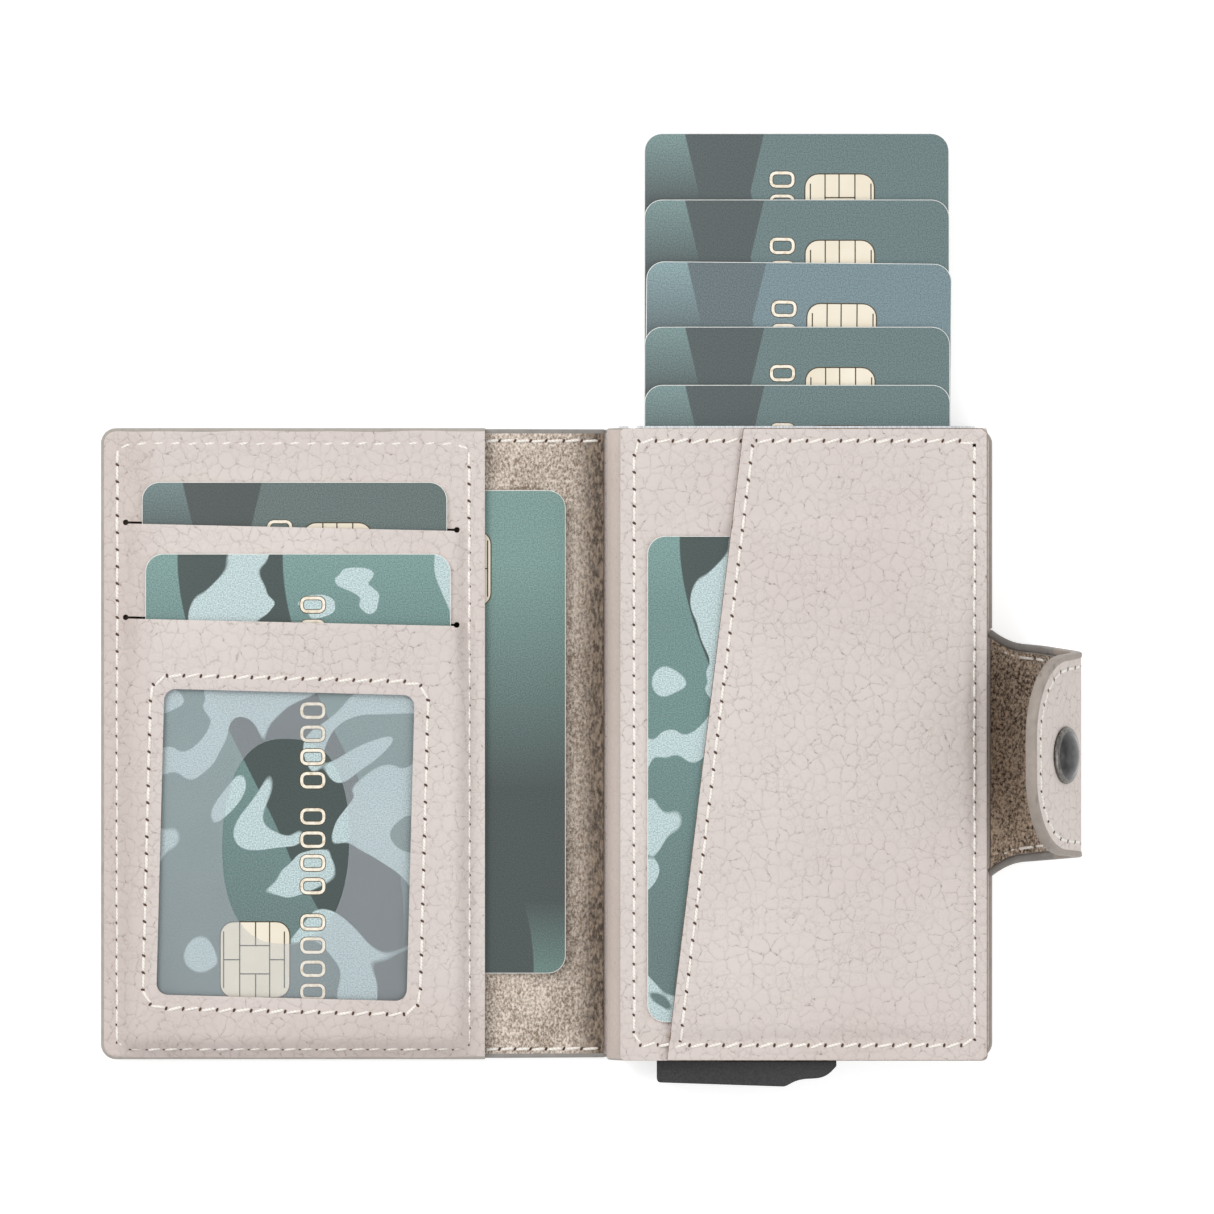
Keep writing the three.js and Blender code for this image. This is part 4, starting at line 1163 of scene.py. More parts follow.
for x1, y1, x2, y2 in groove_lines:
    outline = rounded(x1 - GROOVE_HALF, y1 - GROOVE_HALF, x2 + GROOVE_HALF, y2 + GROOVE_HALF, 0.1, 2)
    groove_pieces.append(plate("groove", outline, CARD_THICK, CARD_THICK + 0.04))


def ring_line(outline, height):
    """Stations round a closed outline at one height. The way out stands square to the neighbours' line."""
    way = np.roll(outline, -1, 0) - np.roll(outline, 1, 0)
    way /= np.linalg.norm(way, axis=1)[:, None]
    return [((x, y, height), (dy, -dx, 0), (0, 0, 1)) for (x, y), (dx, dy) in zip(outline, way)]


rim_section = [(-0.1, -0.02), (0.1, -0.02), (0.1, 0.03), (-0.1, 0.03)]
groove_pieces.append(tube("chip_rim", ring_line(chip_outline, CARD_THICK + 0.01), rim_section, closed=True))
joined("chip_pattern", [chip_shape, *[finish_with(piece, groove) for piece in groove_pieces]])
print("card faces", len(card_shape.data.polygons), "chip faces", len(chip_shape.data.polygons))


# %% [markdown]
# The stamped noughts are one small ring, a rounded section run round a rounded rectangle, copied down the
# card in groups of four.

# %% Stamped noughts and the copies of the card
def copy_of(obj, name, matrix):
    """A copy with its own mesh, moved by a matrix in millimetres."""
    made = obj.copy()
    made.data = obj.data.copy()
    made.name = made.data.name = name
    moved = matrix.copy()
    moved.translation = moved.translation * MM
    made.data.transform(moved)
    bpy.context.collection.objects.link(made)
    return made


NOUGHT_HALF_WIDE, NOUGHT_HALF_TALL = 1.18, 1.95
NUMBER_AT, FIRST_NOUGHT = -2.6, 34.6
NOUGHT_PITCH, GROUP_GAP = 4.1, 2.3
nought_line = ring_line(rounded(-NOUGHT_HALF_WIDE, -NOUGHT_HALF_TALL, NOUGHT_HALF_WIDE, NOUGHT_HALF_TALL,
                                0.85, 3), CARD_THICK)
nought_rings = []
# Under each foil ring lies a wider dark ring: painted shade round the foot of the raised digit.
for half, high, finish in ((0.42, 0.03, groove), (0.29, 0.09, foil)):
    section = [(-half, -0.02), (half, -0.02), (half - 0.05, high), (0.05 - half, high)]
    nought_rings.append(finish_with(tube("nought", nought_line, section, closed=True), finish))
nought = joined("nought", nought_rings)
digits = []
for index in range(16):
    along = FIRST_NOUGHT - index * NOUGHT_PITCH - (index // 4) * GROUP_GAP
    matrix = Matrix.Translation((NUMBER_AT, along, 0)) @ Matrix.Rotation(math.pi / 2, 4, "Z")
    digits.append(copy_of(nought, "digit", matrix))
number_shape = joined("number_pattern", digits)
bpy.data.objects.remove(nought)

card_parts = [f"popup_card_{number}" for number in range(1, 6)]
card_parts += ["block_pocket_card", "slot_card_upper", "slot_card_lower", "side_pocket_card"]
turns = {"popup_card_3": -0.5, "block_pocket_card": 180, "slot_card_lower": 180}
prints = {"popup_card_3": blue_print, "side_pocket_card": fading_print, "slot_card_upper": dim_print,
          "slot_card_lower": cloud_print, "block_pocket_card": cloud_print}
bodies = {node_name: body for body, members in frame["record"]["behaviour"]["bodies"].items()
          for node_name in members}
for part in card_parts:
    low, high = box_of(part)
    centre = (low + high) / 2
    turn = Matrix.Rotation(math.radians(turns.get(part, 0)), 4, "Z")
    matrix = Matrix.Translation((centre[0], centre[1], low[2])) @ turn
    card = copy_of(card_shape, part + "_print", matrix)
    card.data.materials[0] = prints.get(part, teal_print)
    chip = copy_of(chip_shape, part + "_chip", matrix)
    number = copy_of(number_shape, part + "_number", matrix)
    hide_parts(part)
    for piece in (card, chip, number):
        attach(piece, bodies[part])
for pattern in (card_shape, chip_shape, number_shape):
    bpy.data.objects.remove(pattern)
print("cards", len(card_parts))


# %% [markdown]
# ## Card case
# The metal case sits in a leather sleeve. The sleeve's section is a rounded ring with thick sides, run
# along the case as a tube inside a tube: a grid whose rows go out along the outside and back along the
# inside, so its ends close by themselves and are softened.

# %% Leather sleeve
SLEEVE_ROUND, SLEEVE_LIP = 4.4, 0.3
LIP_ROUND = 0.45
SLEEVE_SIDE, SLEEVE_WALL = 2.05, 0.8
inner_half, inner_round = BLOCK_HALF - SLEEVE_SIDE, SLEEVE_ROUND - SLEEVE_WALL
outer = np.array(rounded(-BLOCK_HALF, case_low[2], BLOCK_HALF, case_high[2], SLEEVE_ROUND, 8))
inner = np.array(rounded(-inner_half, case_low[2] + SLEEVE_WALL, inner_half, case_high[2] - SLEEVE_WALL,
                         inner_round, 8))
stretch = np.linspace(-HALF_TALL + SLEEVE_LIP, HALF_TALL - SLEEVE_LIP, 30)
rings = [(outer, y, 0.0) for y in stretch]
rings += [(outer, HALF_TALL, LIP_ROUND), (inner, HALF_TALL, -LIP_ROUND)]
rings += [(inner, y, 0.0) for y in stretch[::-1]]
rings += [(inner, -HALF_TALL, -LIP_ROUND), (outer, -HALF_TALL, LIP_ROUND)]
middle = np.array([0, (case_low[2] + case_high[2]) / 2])
ring_spots = []
for outline, y, shrink in rings:
    way = outline - middle
    sideways = np.sign(way[:, 0]) * (np.abs(way[:, 0]) > inner_half - inner_round)
    line = outline - np.stack([sideways, np.sign(way[:, 1])], 1) * shrink * SLEEVE_LIP
    ring_spots.append(np.stack([line[:, 0], np.full(len(line), y), line[:, 1]], 1))
ring_spots = np.array(ring_spots)


def sleeve_place(around, along):
    """The point of a ring at shares round the section and along the rings, which close on themselves."""
    i = np.rint(around * len(outer)).astype(int) % len(outer)
    j = np.rint(along * len(rings)).astype(int) % len(rings)
    return ring_spots[j, i].T


sleeve = grid("case_leather_sleeve", len(outer), len(rings), sleeve_place)
in_edit(sleeve, merge, outwards)
smooth(sleeve, 50)
finish_with(sleeve, sleeve_hide, edge_paint, sleeve_painted_light)
# The strap's side takes the lighter copy, painted light where that side faces away from the key lamp.
for face in sleeve.data.polygons:
    if abs(face.normal.y) > 0.35:
        face.material_index = 1
    elif face.center.x > 0:
        face.material_index = 2
print("sleeve faces", len(sleeve.data.polygons))


# %% [markdown]
# Hard parts whose shape in the model is right are copied, cleaned and given soft edges: the metal case,
# the lever and its pin, the plastic base and the felt grips. The model's own triangles are joined to clean
# faces first, because a bevel needs real edges to work on.

# %% Case, lever, base, grips and pin
def dressed(part, name, material, width, segments=2):
    """A cleaned copy of a part with softened edges and its finish."""
    made = frame["nodes"][part].copy()
    made.data = frame["nodes"][part].data.copy()
    made.name = made.data.name = name
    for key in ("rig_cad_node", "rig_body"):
        if key in made:
            del made[key]
    made.parent = None
    bpy.context.collection.objects.link(made)
    in_edit(made, lambda: merge(0.002),
            lambda: bpy.ops.mesh.customdata_custom_splitnormals_clear(),
            lambda: bpy.ops.mesh.dissolve_limited(angle_limit=math.radians(0.5)))
    finish_with(made, material)
    for face in made.data.polygons:
        face.material_index = 0
    soften(made, width, segments, 32)
    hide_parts(part)
    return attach(made, bodies[part])


hard = [dressed("card_case", "case_aluminium_shell", aluminium, 0.15),
        dressed("pivot_pin", "lever_pivot_pin", pin_steel, 0.15),
        dressed("base_insert", "case_base_insert", black_abs, 0.3),
        dressed("base_stop", "case_base_stop", black_abs, 0.3),
        dressed("eject_lever", "eject_lever_moulding", black_abs, 0.28, 3),
        dressed("card_grip_left", "felt_grip_left", felt, 0.2),
        dressed("card_grip_right", "felt_grip_right", felt, 0.2),
        dressed("stud_washer", "snap_stud_washer", pin_steel, 0.06),
        dressed("snap_stud", "snap_stud_turned", gunmetal, 0.08),
        dressed("snap_socket", "snap_socket_turned", gunmetal, 0.08)]
print("hard parts", [len(piece.data.polygons) for piece in hard])


# %% [markdown]
# A thin panel of leather covers the top of the sleeve, and the diagonal pocket lies on it. Both are grids
# pulled into their outline. The pocket rises over the card under it and sinks where the card ends, and the
# panel's leather swells a little beside the card, as soft leather does when it is pressed. It stays flat
# above the card and right of its edge, because the card slides out and further in there, and the pocket
# leaves it that play. Panel and pocket reach over the sleeve's rounded shoulder on the strap's side.

# %% Top panel and diagonal pocket
pocket_card_low, pocket_card_high = box_of("block_pocket_card")
TOP_THICK, POCKET_THICK = 0.7, 0.8
OVER_SHOULDER = 0.85
CARD_PLAY = 1.1
SWELL = 0.35
top_left, top_right = top_low[0], top_high[0] + OVER_SHOULDER
EDGE_TOP, EDGE_FOOT = -9.6, -23.1
POCKET_ROUND = 0.9
NARROW = 0.15


def outside_card(x, y):
    """Distance from the pocket card's outline, less than zero on the card."""
    beyond_x = np.maximum(pocket_card_low[0] - x, x - pocket_card_high[0])
    beyond_y = np.maximum(pocket_card_low[1] - y, y - pocket_card_high[1])
    return np.maximum(beyond_x, beyond_y)


def show_cut_and_shade(obj):
    """Gives the narrow faces of a sheet's rounded edge the dark finish of its cut rim, which on the pocket
    is also painted shade.
    """
    for face in obj.data.polygons:
        if abs(face.normal.z) < 0.93 and face.area < NARROW * MM * MM:
            face.material_index = 1


def top_surface(x, y):
    """Height of the top panel's middle, with the swell beside the card."""
    near = outside_card(x, y)
    swell = SWELL * ease(near, 0.1, 0.7) * (1 - ease(near, 0.9, 3.2))
    swell = swell * ease(pocket_card_high[1] - y, 0, 3) * ease(pocket_card_high[0] - x, 0, 3)
    edge = ease(x, top_left, top_left + 2.5) * ease(-x, -top_right, -top_right + 2.5)
    return top_high[2] - TOP_THICK / 2 + swell * edge


top_sheet = flat_sheet("case_top_panel_leather", top_left, top_right, HALF_TALL - 0.05, POCKET_ROUND,
                       top_surface, (90, 140), sides=(True, True), thick=TOP_THICK)
finish_with(top_sheet, hide, raw_cut)
round_rim(top_sheet, 0.16, lambda spot: False)
show_cut_and_shade(top_sheet)


def pocket_edge(y):
    """X of the pocket's slanting edge."""
    return EDGE_FOOT + (EDGE_TOP - EDGE_FOOT) * (y + HALF_TALL) / (2 * HALF_TALL)


def pocket_top(x, y):
    """Height of the pocket's upper face: up on the card, down at the sewn rim and above the card."""
    near = outside_card(x - CARD_PLAY * ease(x, 0, pocket_card_high[0]), y)
    over = 1 - ease(near, 0.6, 3.4)
    low = pocket_low[2] + POCKET_THICK
    lump = LUMP * np.sin(0.21 * x + 0.3) * np.sin(0.17 * y)
    return low + (pocket_high[2] - low - 0.06) * over + lump * over


def pocket_place(u, v):
    """Places of the pocket's grid, from its slanting edge to its right side with rounded corners."""
    half = HALF_TALL - 0.1
    y = (2 * v - 1) * half
    into = np.clip(np.abs(y) - (half - POCKET_ROUND), 0, POCKET_ROUND)
    right = top_right - 0.1 - (POCKET_ROUND - np.sqrt(np.maximum(POCKET_ROUND ** 2 - into ** 2, 0)))
    x = pocket_edge(y) + (right - pocket_edge(y)) * u
    return x, y, pocket_top(x, y) - POCKET_THICK / 2


pocket = grid("diagonal_pocket_leather", 90, 150, pocket_place)
finish_with(pocket, hide, raw_cut)
apply(pocket, "SOLIDIFY", thickness=POCKET_THICK * MM, offset=0, material_offset_rim=1)
round_rim(pocket, 0.2, lambda spot: False)
# On the pocket the dark cut rim also paints the shadow along its slanting edge.
show_cut_and_shade(pocket)
print("pocket faces", len(pocket.data.polygons))


# %% [markdown]
# ## Closing strap
# The strap grows out of the jacket, rises and curls back over. Its line is three straight stretches with
# round bends between them. Each of its three sheets crosses one bend, and they meet in the middle of the
# straight stretches. The leather is outside, the suede inside, and a painted bead runs round both.

# %% Strap line
STRAP_Y = -1.7
ROOT_START = (35.55, LEATHER / 2)
STRETCHES = [(7.0, 0.0), (15.74, 65.0), (20.5, 118.0)]
STRAP_LONG = sum(long for long, _ in STRETCHES)
BEND = [3.3, 3.2]
ROOT_WIDE, TIP_WIDE, TIP_RADIUS = 38.7, 32.5, 13.0
FLARE_LONG, FLARE_WIDE = 5.0, 1.5


def strap_angle(s):
    """Slope of the strap in degrees at a distance along it, smooth over the two bends."""
    first = STRETCHES[0][0]
    second = first + STRETCHES[1][0]
    turn_one = ease(s, first - BEND[0], first + BEND[0]) * STRETCHES[1][1]
    turn_two = ease(s, second - BEND[1], second + BEND[1]) * (STRETCHES[2][1] - STRETCHES[1][1])
    return turn_one + turn_two


fine_s = np.linspace(-2, STRAP_LONG, 800)
slopes = np.radians(strap_angle(fine_s))
line_x = np.concatenate([[0], np.cumsum(np.cos((slopes[1:] + slopes[:-1]) / 2) * np.diff(fine_s))])
line_z = np.concatenate([[0], np.cumsum(np.sin((slopes[1:] + slopes[:-1]) / 2) * np.diff(fine_s))])
line_x += ROOT_START[0] - 2
line_z += ROOT_START[1]


def strap_spot(s, lift):
    """X and Z on the strap at a distance along it, lifted off its leather's middle to the inner side."""
    angle = np.radians(strap_angle(s))
    x = np.interp(s, fine_s, line_x) - lift * np.sin(angle)
    z = np.interp(s, fine_s, line_z) + lift * np.cos(angle)
    return x, z


def strap_half(s, inset=0.0):
    """Half the strap's width: flared at its root, tapering, and rounded at its tip."""
    flare = np.maximum(0, 1 - s / FLARE_LONG)
    half = (ROOT_WIDE - (ROOT_WIDE - TIP_WIDE) / STRAP_LONG * s) / 2 + FLARE_WIDE * flare ** 2 - inset
    radius = TIP_RADIUS - inset
    into = np.clip(s - (STRAP_LONG - inset - radius), 0, radius)
    return half - radius + np.sqrt(np.maximum(radius ** 2 - into ** 2, 0))


tip_x, tip_z = strap_spot(STRAP_LONG, 0)
print("strap tip at", round(float(tip_x), 1), round(float(tip_z), 1))


# %% [markdown]
# Rows of the sheet crowd together towards the rounded tip, where the outline turns fastest. The tip has
# thicker, paler paint.

# %% Strap sheets and bead
STRAP_PARTS = ("root", "middle", "tip")
CUTS = [-1.05, 3.5, 14.87, STRAP_LONG]
BEND_PLACES = [0, STRETCHES[0][0], STRETCHES[0][0] + STRETCHES[1][0]]
FOLD_HALVES = [1.05, 3.0, 2.8]
TIP_FROM = 30
STRAP_RIM = 1.2
strap_bodies = [("card_block", "strap_root"), ("strap_root", "strap_middle"), ("strap_middle", "strap_tip")]
strap_folds = [(bend - half, bend + half) for bend, half in zip(BEND_PLACES, FOLD_HALVES)]


def strap_sheet(name, start, stop, lift, thick, inset, finish):
    """A stretch of the strap's leather or suede. One that ends beyond TIP_FROM is the rounded tip."""
    tip = stop > TIP_FROM

    def place(u, v):
        s = start + (stop - inset - start) * np.sin(u * math.pi / 2) if tip else start + (stop - start) * u
        x, z = strap_spot(s, lift)
        return x, STRAP_Y + (2 * v - 1) * strap_half(s, inset), z

    sheet = grid(name, 44 if tip else 18, 34, place)
    finish_with(sheet, finish, edge_paint)
    apply(sheet, "SOLIDIFY", thickness=thick * MM, offset=0, use_even_offset=True, material_offset_rim=1)
    return sheet


def strap_bead(name, start, stop):
    """The painted bead along both edges, and round the tip on the last piece."""
    tip = stop > TIP_FROM
    half_thick = 1.0 if tip else 0.86
    section = [(0.05 + 0.3 * c - (0.9 if c < 0 else 0) * abs(c),
                0.27 + half_thick * math.copysign(abs(s) ** 0.6, s)) for c, s in circle(12)]
    s = np.linspace(start, stop - TIP_RADIUS if tip else stop, 12)
    if tip:
        round_tip = np.sin(np.linspace(0.05, 1, 18) * math.pi / 2)
        s = np.concatenate([s, stop - TIP_RADIUS + TIP_RADIUS * round_tip])
    sides = [np.stack([s, strap_half(s)], 1), np.stack([s, -strap_half(s)], 1)[::-1]]
    pieces = []
    for flat in [np.concatenate(sides)] if tip else sides:
        way = np.gradient(flat, axis=0)
        way /= np.linalg.norm(way, axis=1)[:, None]
        stations = []
        for (s, w), (ds, dw) in zip(flat, way):
            x, z = strap_spot(s, 0)
            angle = math.radians(float(strap_angle(np.array(s))))
            along = np.array([math.cos(angle), 0, math.sin(angle)])
            up = np.array([-math.sin(angle), 0, math.cos(angle)])
            out = along * -dw + np.array([0, 1, 0]) * ds
            stations.append(((x, STRAP_Y + w, z), out, up))
        pieces.append(tube(name, stations, section))
    return smooth(finish_with(joined(name, pieces), tip_paint if tip else worn_paint), 50)


strap_pieces = []
for label, start, stop in zip(STRAP_PARTS, CUTS, CUTS[1:]):
    outer = strap_sheet(f"strap_leather_{label}", start, stop, 0.0, LEATHER, 0.25, strap_hide[label])
    inner = strap_sheet(f"strap_suede_{label}", start, stop, LEATHER / 2 + LAYER_GAP + LINING / 2, LINING,
                        STRAP_RIM, shaded_strap_suede)
    bead = strap_bead(f"strap_edge_paint_{label}", start, stop)
    strap_pieces.append((smooth(outer), smooth(inner), bead))
print("strap sheets", len(strap_pieces))


# %% [markdown]
# ### Snap cap
# The cap of the snap is a shallow dome with a rolled rim, pressed from brass. It is a grid whose rows go
# round as rings along the dome's profile. It is shaped upright and then laid on the strap's tip.

# %% Snap cap
SNAP_ALONG = BEND_PLACES[2] + 8.0
CAP_COLUMNS = 48
RIM_FROM = 4.15
cap_profile = [(4.55, -0.02), (4.95, 0.1), (5.02, 0.35), (4.9, 0.6), (4.55, 0.78), (4.2, 0.86), (3.9, 0.98),
               (3.4, 1.3), (2.7, 1.6), (1.8, 1.82), (0.9, 1.92), (0.25, 1.94)]


def cap_place(around, along):
    """Places of the cap's grid: the profile turned about the cap's middle."""
    turn = np.rint(around * CAP_COLUMNS) % CAP_COLUMNS * (2 * math.pi / CAP_COLUMNS)
    index = np.rint(along * (len(cap_profile) - 1)).astype(int)
    radius = np.array([p[0] for p in cap_profile])[index]
    height = np.array([p[1] for p in cap_profile])[index]
    return radius * np.cos(turn), radius * np.sin(turn), height


cap = grid("snap_cap_dome", CAP_COLUMNS, len(cap_profile) - 1, cap_place)
in_edit(cap, merge, lambda: bpy.ops.mesh.fill_holes(sides=0), outwards)
finish_with(cap, gunmetal, pale_rim)
# The rolled rim is given a paler finish than the dome.
for face in cap.data.polygons:
    face.material_index = 1 if math.hypot(face.center.x, face.center.y) > RIM_FROM * MM else 0
cap_angle = math.radians(STRETCHES[2][1])
cap_x, cap_z = strap_spot(np.array(SNAP_ALONG), -LEATHER / 2)
c, s = math.cos(cap_angle), math.sin(cap_angle)
lay = Matrix(((c, 0, s, float(cap_x) * MM), (0, 1, 0, STRAP_Y * MM), (s, 0, -c, float(cap_z) * MM),
              (0, 0, 0, 1)))
cap.data.transform(lay)
in_edit(cap, outwards)
smooth(cap, 60)
print("cap at", round(float(cap_x), 1), round(float(cap_z), 1))


# %% [markdown]
# ## Stitching
# A stitch is a short arched strand that dips into a slanted hole at each end. One stitch and one hole are
# modelled, with a few dozen faces, and copied along each seam at the thread's pitch of three millimetres.
# The copies of a seam are joined to one mesh.

# %% The stitch and the hole
PITCH = 3.0
THREAD_HALF = 0.26
STITCH_HALF = 1.3
HOLE_SLANT = 52
bpy.ops.object.select_all(action="DESELECT")
bpy.ops.mesh.primitive_cylinder_add(vertices=7, radius=THREAD_HALF * MM, depth=2 * STITCH_HALF * MM,
                                    rotation=(0, math.pi / 2, 0))
stitch = bpy.context.object
stitch.name = "stitch_pattern"
bpy.ops.object.transform_apply(location=True, rotation=True, scale=True)
bpy.ops.object.mode_set(mode="EDIT")
bpy.ops.mesh.select_mode(type="EDGE")
bpy.ops.mesh.select_all(action="DESELECT")
mesh = bmesh.from_edit_mesh(stitch.data)
for edge in mesh.edges:
    edge.select_set(abs(edge.verts[0].co.x - edge.verts[1].co.x) > MM)
bmesh.update_edit_mesh(stitch.data)
bpy.ops.mesh.subdivide(number_cuts=4)
bpy.ops.object.mode_set(mode="OBJECT")
spots = points_of(stitch)
along = spots[:, 0] / STITCH_HALF
slim = 1 - 0.3 * along ** 4
spots[:, 1] *= slim
spots[:, 2] = spots[:, 2] * slim * 0.8 + 0.02 - 0.12 * along ** 2
put_points(stitch, spots)
finish_with(stitch, thread)
only(stitch)
bpy.ops.object.shade_smooth()
# The hole is a thin dark disc on the leather: painted shade in the awl's hole.
hole_outline = turned([(0.4 * c, 0.23 * s) for c, s in circle(8)], (0, 0), HOLE_SLANT)
hole = finish_with(plate("hole_pattern", hole_outline, -0.1, 0.035), awl_hole_shade)
print("stitch faces", len(stitch.data.polygons), "hole faces", len(hole.data.polygons))


# %% [markdown]
# A seam needs a line that lies on the leather, the places of its holes at even steps along it, and the way
# off the leather at each stitch. Stitches slant a little across their line, and no two are quite the same.

# %% Sewing functions
def evenly(points):
    """Hole places a pitch apart along a line of 3D points."""
    points = np.array(points, float)
    steps = np.linalg.norm(np.diff(points, axis=0), axis=1)
    length = np.concatenate([[0], np.cumsum(steps)])
    count = max(2, int(round(length[-1] / PITCH)))
    at = np.linspace(0, length[-1], count + 1)
    return np.stack([np.interp(at, length, points[:, i]) for i in range(3)], 1)


def sew(name, points, up, slant=0.0):
    """Stitches along a line. up gives the way off the surface at a point, slant tilts each stitch."""
    holes = evenly(points)
    pieces = []
    for index, (start, stop) in enumerate(zip(holes, holes[1:])):
        middle = (start + stop) / 2
        top = Vector(up(middle)).normalized()
        along = Vector(stop - start)
        stretch = along.length / PITCH
        along.normalize()
        side = top.cross(along).normalized()
        tilt = slant * abs(along.x) * (1 + 0.25 * math.sin(index * 2.4))
        along = (along + side * tilt).normalized()
        side = top.cross(along).normalized()
        wobble = 0.05 * math.sin(index * 1.7) * side
        ways = Matrix((along, side, top)).transposed().to_4x4()
        scale = Matrix.Diagonal((stretch, 1 + 0.1 * math.sin(index * 3.1), 1, 1))
        place = Matrix.Translation(Vector(middle) + wobble)
        pieces.append(copy_of(stitch, "copy", place @ ways @ scale))
        pieces.append(copy_of(hole, "copy", Matrix.Translation(start) @ ways))
    pieces.append(copy_of(hole, "copy", Matrix.Translation(holes[-1]) @ ways))
    return joined(name, pieces)


def raised(outline, height):
    """A flat line of points put on a surface whose height is given by a function of X and Y."""
    fine = []
    for (x1, y1), (x2, y2) in zip(outline, outline[1:]):
        count = max(1, int(math.hypot(x2 - x1, y2 - y1)))
        fine += [(x1 + (x2 - x1) * i / count, y1 + (y2 - y1) * i / count) for i in range(count)]
    fine.append(outline[-1])
    return [(x, y, float(height(np.array(x), np.array(y)))) for x, y in fine]


def upwards(spot):
    """The way off a face that looks up."""
    return 0, 0, 1


def downwards(spot):
    """The way off a face that looks down."""
    return 0, 0, -1


def closed(outline):
    """An outline that ends where it began."""
    return outline + outline[:1]


print("pitch", PITCH)


# %% [markdown]
# The seams follow the photograph: one round the cover's panel and one round its window, one round the
# case's top and one down the diagonal pocket's edge, short ones across the spine, and one along the strap.
# The thread also shows on the outer side of the jacket. Distances are from the edges of the leather.

# %% Seams of the cover and the case
def under_card(x, y):
    """The panel's face, a little lower at its top edge, where the upper card slides over the thread."""
    return panel_top(x, y) - 0.16 * ease(y, HALF_TALL - 4.5, HALF_TALL - 3)


SEAM_SIDE = 2.8
SEAM_TOP, SEAM_FOOT = HALF_TALL - 2.6, -HALF_TALL + 1.9
seam_left, seam_right = COVER_LEFT + SEAM_SIDE, JACKET_RIGHT - 2.4
cover_line = closed(rounded(seam_left, SEAM_FOOT, PANEL_RIGHT - SEAM_SIDE, SEAM_TOP, 1.2, 2))
window_line = closed(window_outline(2.4, 3.2, 4))
outer_cover = [(PANEL_RIGHT - 1, SEAM_TOP, COVER_LIFT), (seam_left, SEAM_TOP, COVER_LIFT),
               (seam_left, SEAM_FOOT, COVER_LIFT), (PANEL_RIGHT - 1, SEAM_FOOT, COVER_LIFT)]
seams = [(sew("seam_cover_panel", raised(cover_line, under_card), upwards, 0.14), "front_cover"),
         (sew("seam_window", raised(window_line, panel_top), upwards, 0.24), "front_cover"),
         (sew("seam_cover_outside", outer_cover, downwards), "front_cover")]


def case_surface(x, y):
    """The leather's upper face on top of the case: the pocket right of its edge, else the panel."""
    return np.where(x > pocket_edge(y), pocket_top(x, y), top_surface(x, y) + TOP_THICK / 2)


case_line = closed(rounded(top_left + 2.5, -HALF_TALL + 2.8, top_right - 2.4, HALF_TALL - 2.3, 0.8, 2))
pocket_line = [(pocket_edge(y) + 2.0, y) for y in np.linspace(HALF_TALL - 3.2, -HALF_TALL + 3.4, 40)]
outer_case = [(SPINE_FOLD + 1, SEAM_TOP, 0), (seam_right, SEAM_TOP, 0), (seam_right, SEAM_FOOT, 0),
              (SPINE_FOLD + 1, SEAM_FOOT, 0)]
seams += [(sew("seam_case_top", raised(case_line, case_surface), upwards, 0.3), "card_block"),
          (sew("seam_pocket_edge", raised(pocket_line, pocket_top), upwards, 0.04), "card_block"),
          (sew("seam_case_outside", outer_case, downwards), "card_block")]
print("seam faces", [len(seam.data.polygons) for seam, _ in seams])


# %% [markdown]
# The spine's short seams lie on its suede and on its leather. The strap's seam runs 2.2 mm inside its edge.
# On the suede side it is pulled a little into the nap, so it hardly touches the case when the strap closes.

# %% Seams of the spine and the strap
LINING_TOP = LEATHER / 2 + LAYER_GAP + LINING
SUNK = 0.17
SEAM_INSET = 2.2
spine_seams = {"cover": [], "case": []}
for part, start, stop in (("cover", PANEL_RIGHT - 0.2, MID_SPINE), ("case", MID_SPINE, SPINE_FOLD)):
    for label, y in (("top", HALF_TALL - 2.1), ("foot", -HALF_TALL + 1.6)):
        for side, lift, way in (("in", LINING_TOP, upwards), ("out", -LEATHER / 2, downwards)):
            line = [(x, y, float(jacket_middle(np.array(x))) + lift) for x in np.linspace(start, stop, 12)]
            spine_seams[part].append(sew(f"seam_spine_{part}_{label}_{side}", line, way, 0.08))


def strap_seam(name, start, stop, lift, sign):
    """The strap's seam on its suede side or its grain side, where sign is 1 or -1."""
    if stop > TIP_FROM:
        straight, turn = stop - TIP_RADIUS, TIP_RADIUS - SEAM_INSET
        s = np.concatenate([np.linspace(start, straight, 12),
                            straight + turn * np.sin(np.linspace(0.1, 1, 16) * math.pi / 2)])
        flat = [(a, b) for a, b in zip(s, strap_half(s, SEAM_INSET))]
        flat += [(a, -b) for a, b in flat[::-1]]
        runs = [flat]
    else:
        s = np.linspace(start, stop, 10)
        half = strap_half(s, SEAM_INSET)
        runs = [list(zip(s, half)), list(zip(s, -half))]
    pieces = []
    for flat in runs:
        line = []
        for a, b in flat:
            x, z = strap_spot(np.array(a), lift)
            line.append((float(x), STRAP_Y + b, float(z)))

        def off(spot):
            near = int(np.argmin((line_x - spot[0]) ** 2 + (line_z - spot[2]) ** 2))
            angle = math.radians(float(strap_angle(fine_s[near])))
            return (-sign * math.sin(angle), 0, sign * math.cos(angle))

        pieces.append(sew(name, line, off))
    return joined(name, pieces)


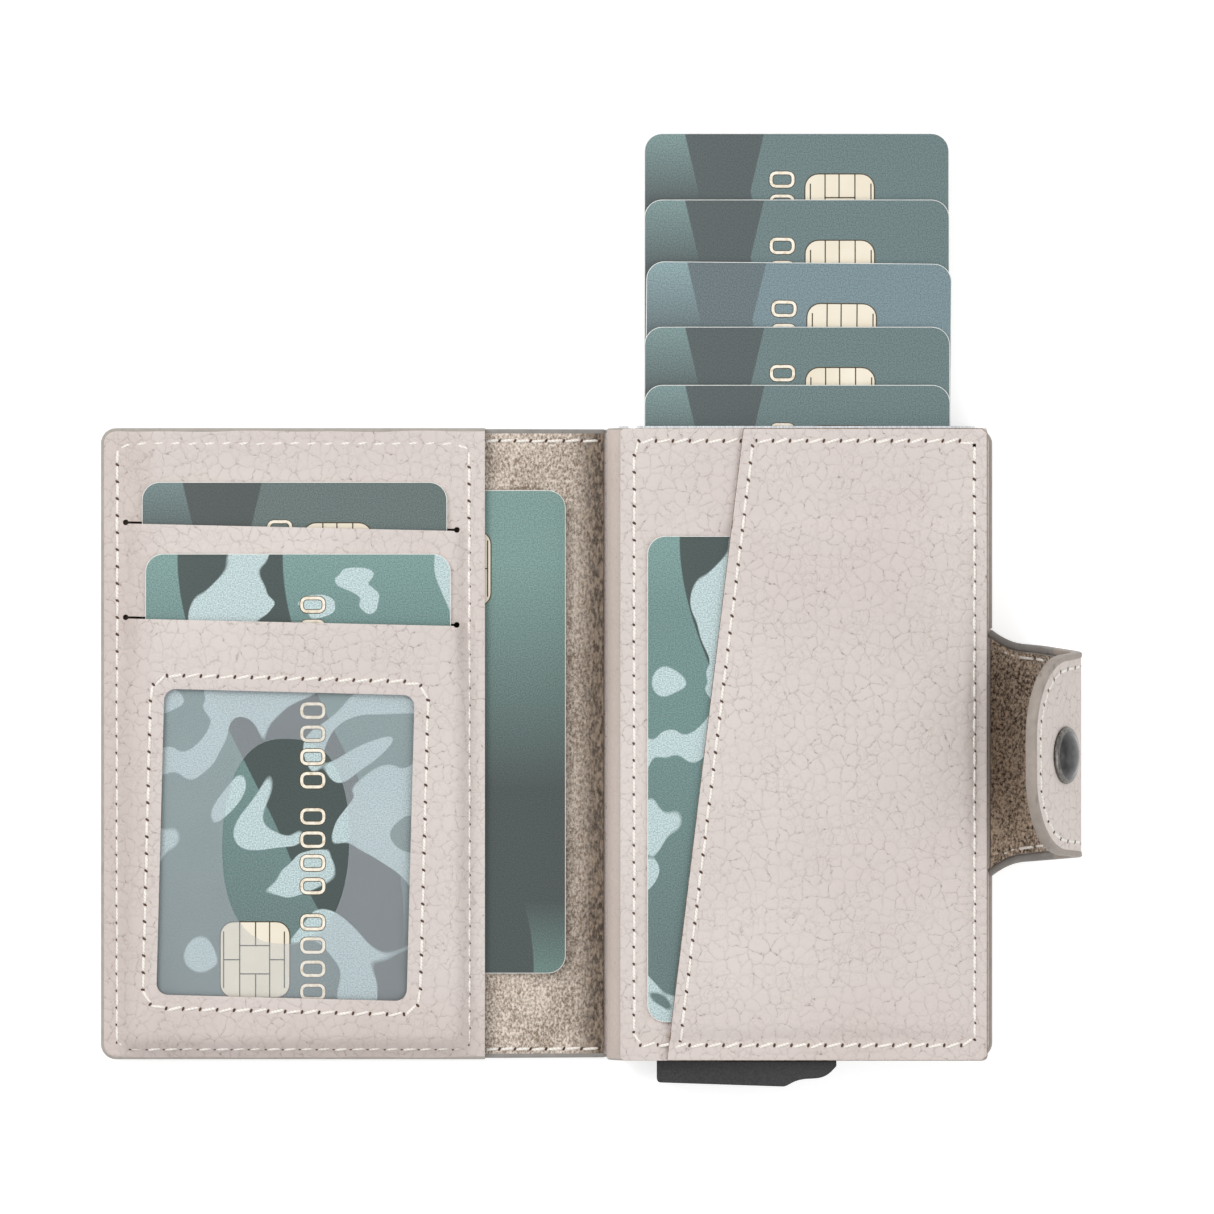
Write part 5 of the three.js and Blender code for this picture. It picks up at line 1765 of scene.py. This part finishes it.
strap_seams = []
for label, start, stop in zip(STRAP_PARTS, [CUTS[0] + 2.0, *CUTS[1:]], CUTS[1:]):
    strap_seams.append([strap_seam(f"seam_strap_{label}_suede", start, stop, LINING_TOP - SUNK, 1),
                        strap_seam(f"seam_strap_{label}_grain", start, stop, -LEATHER / 2, -1)])
for pattern in (stitch, hole):
    bpy.data.objects.remove(pattern)
print("strap seams", len(strap_seams))


# %% [markdown]
# ## Riding
# Each rigid piece now rides on its body. The pieces that cross a fold keep their places in the wallet's
# frame, and the model's parts that the new pieces replace are hidden.

# %% Bodies and hidden parts
def at(x):
    """A point of the jacket in metres."""
    return (x * MM, 0, LEATHER / 2 * MM)


def bands_of(part):
    """The edge bands that have this part in their name."""
    return [band for band in bands if part in band.name]


for piece in (jacket_left, lining_left, *bands_of("spine_cover"), *spine_seams["cover"]):
    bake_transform(piece)
for piece in (jacket_right, lining_right, *bands_of("spine_case"), *spine_seams["case"]):
    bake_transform(piece)
for piece in (panel, backing, film, cover_band):
    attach(piece, "front_cover")
for piece in (sleeve, top_sheet, pocket, *bands_of("paint_case")):
    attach(piece, "card_block")
for piece, body in seams:
    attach(piece, body)
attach(cap, "strap_tip")
for (parent, child), fold, pieces, sewn in zip(strap_bodies, strap_folds, strap_pieces, strap_seams):
    for piece in (*pieces, *sewn):
        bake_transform(piece)

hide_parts("jacket_front", "spine_leather")
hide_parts("jacket_back")
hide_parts("front_lining", "spine_lining")
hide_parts("pocket_panel")
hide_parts("slot_backing")
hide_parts("window_film")
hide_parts("case_wrap")
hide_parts("top_panel")
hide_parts("diagonal_pocket")
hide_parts("snap_cap")
for (outer, inner, bead), label in zip(strap_pieces, STRAP_PARTS):
    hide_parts(f"strap_{label}_leather")
    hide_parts(f"strap_{label}_lining")
print("bodies given")


# %% [markdown]
# The strap's pieces are read once more, each later stretch with the places where it starts and stops. The
# short root of the strap is part of the middle stretch's cut.


root_leather, root_suede, _ = strap_pieces[0]
for index, leather_parts, suede_parts in ((1, [root_leather], [root_suede]), (2, [], [])):
    (outer, inner, bead), (start, stop) = strap_pieces[index], CUTS[index:index + 2]
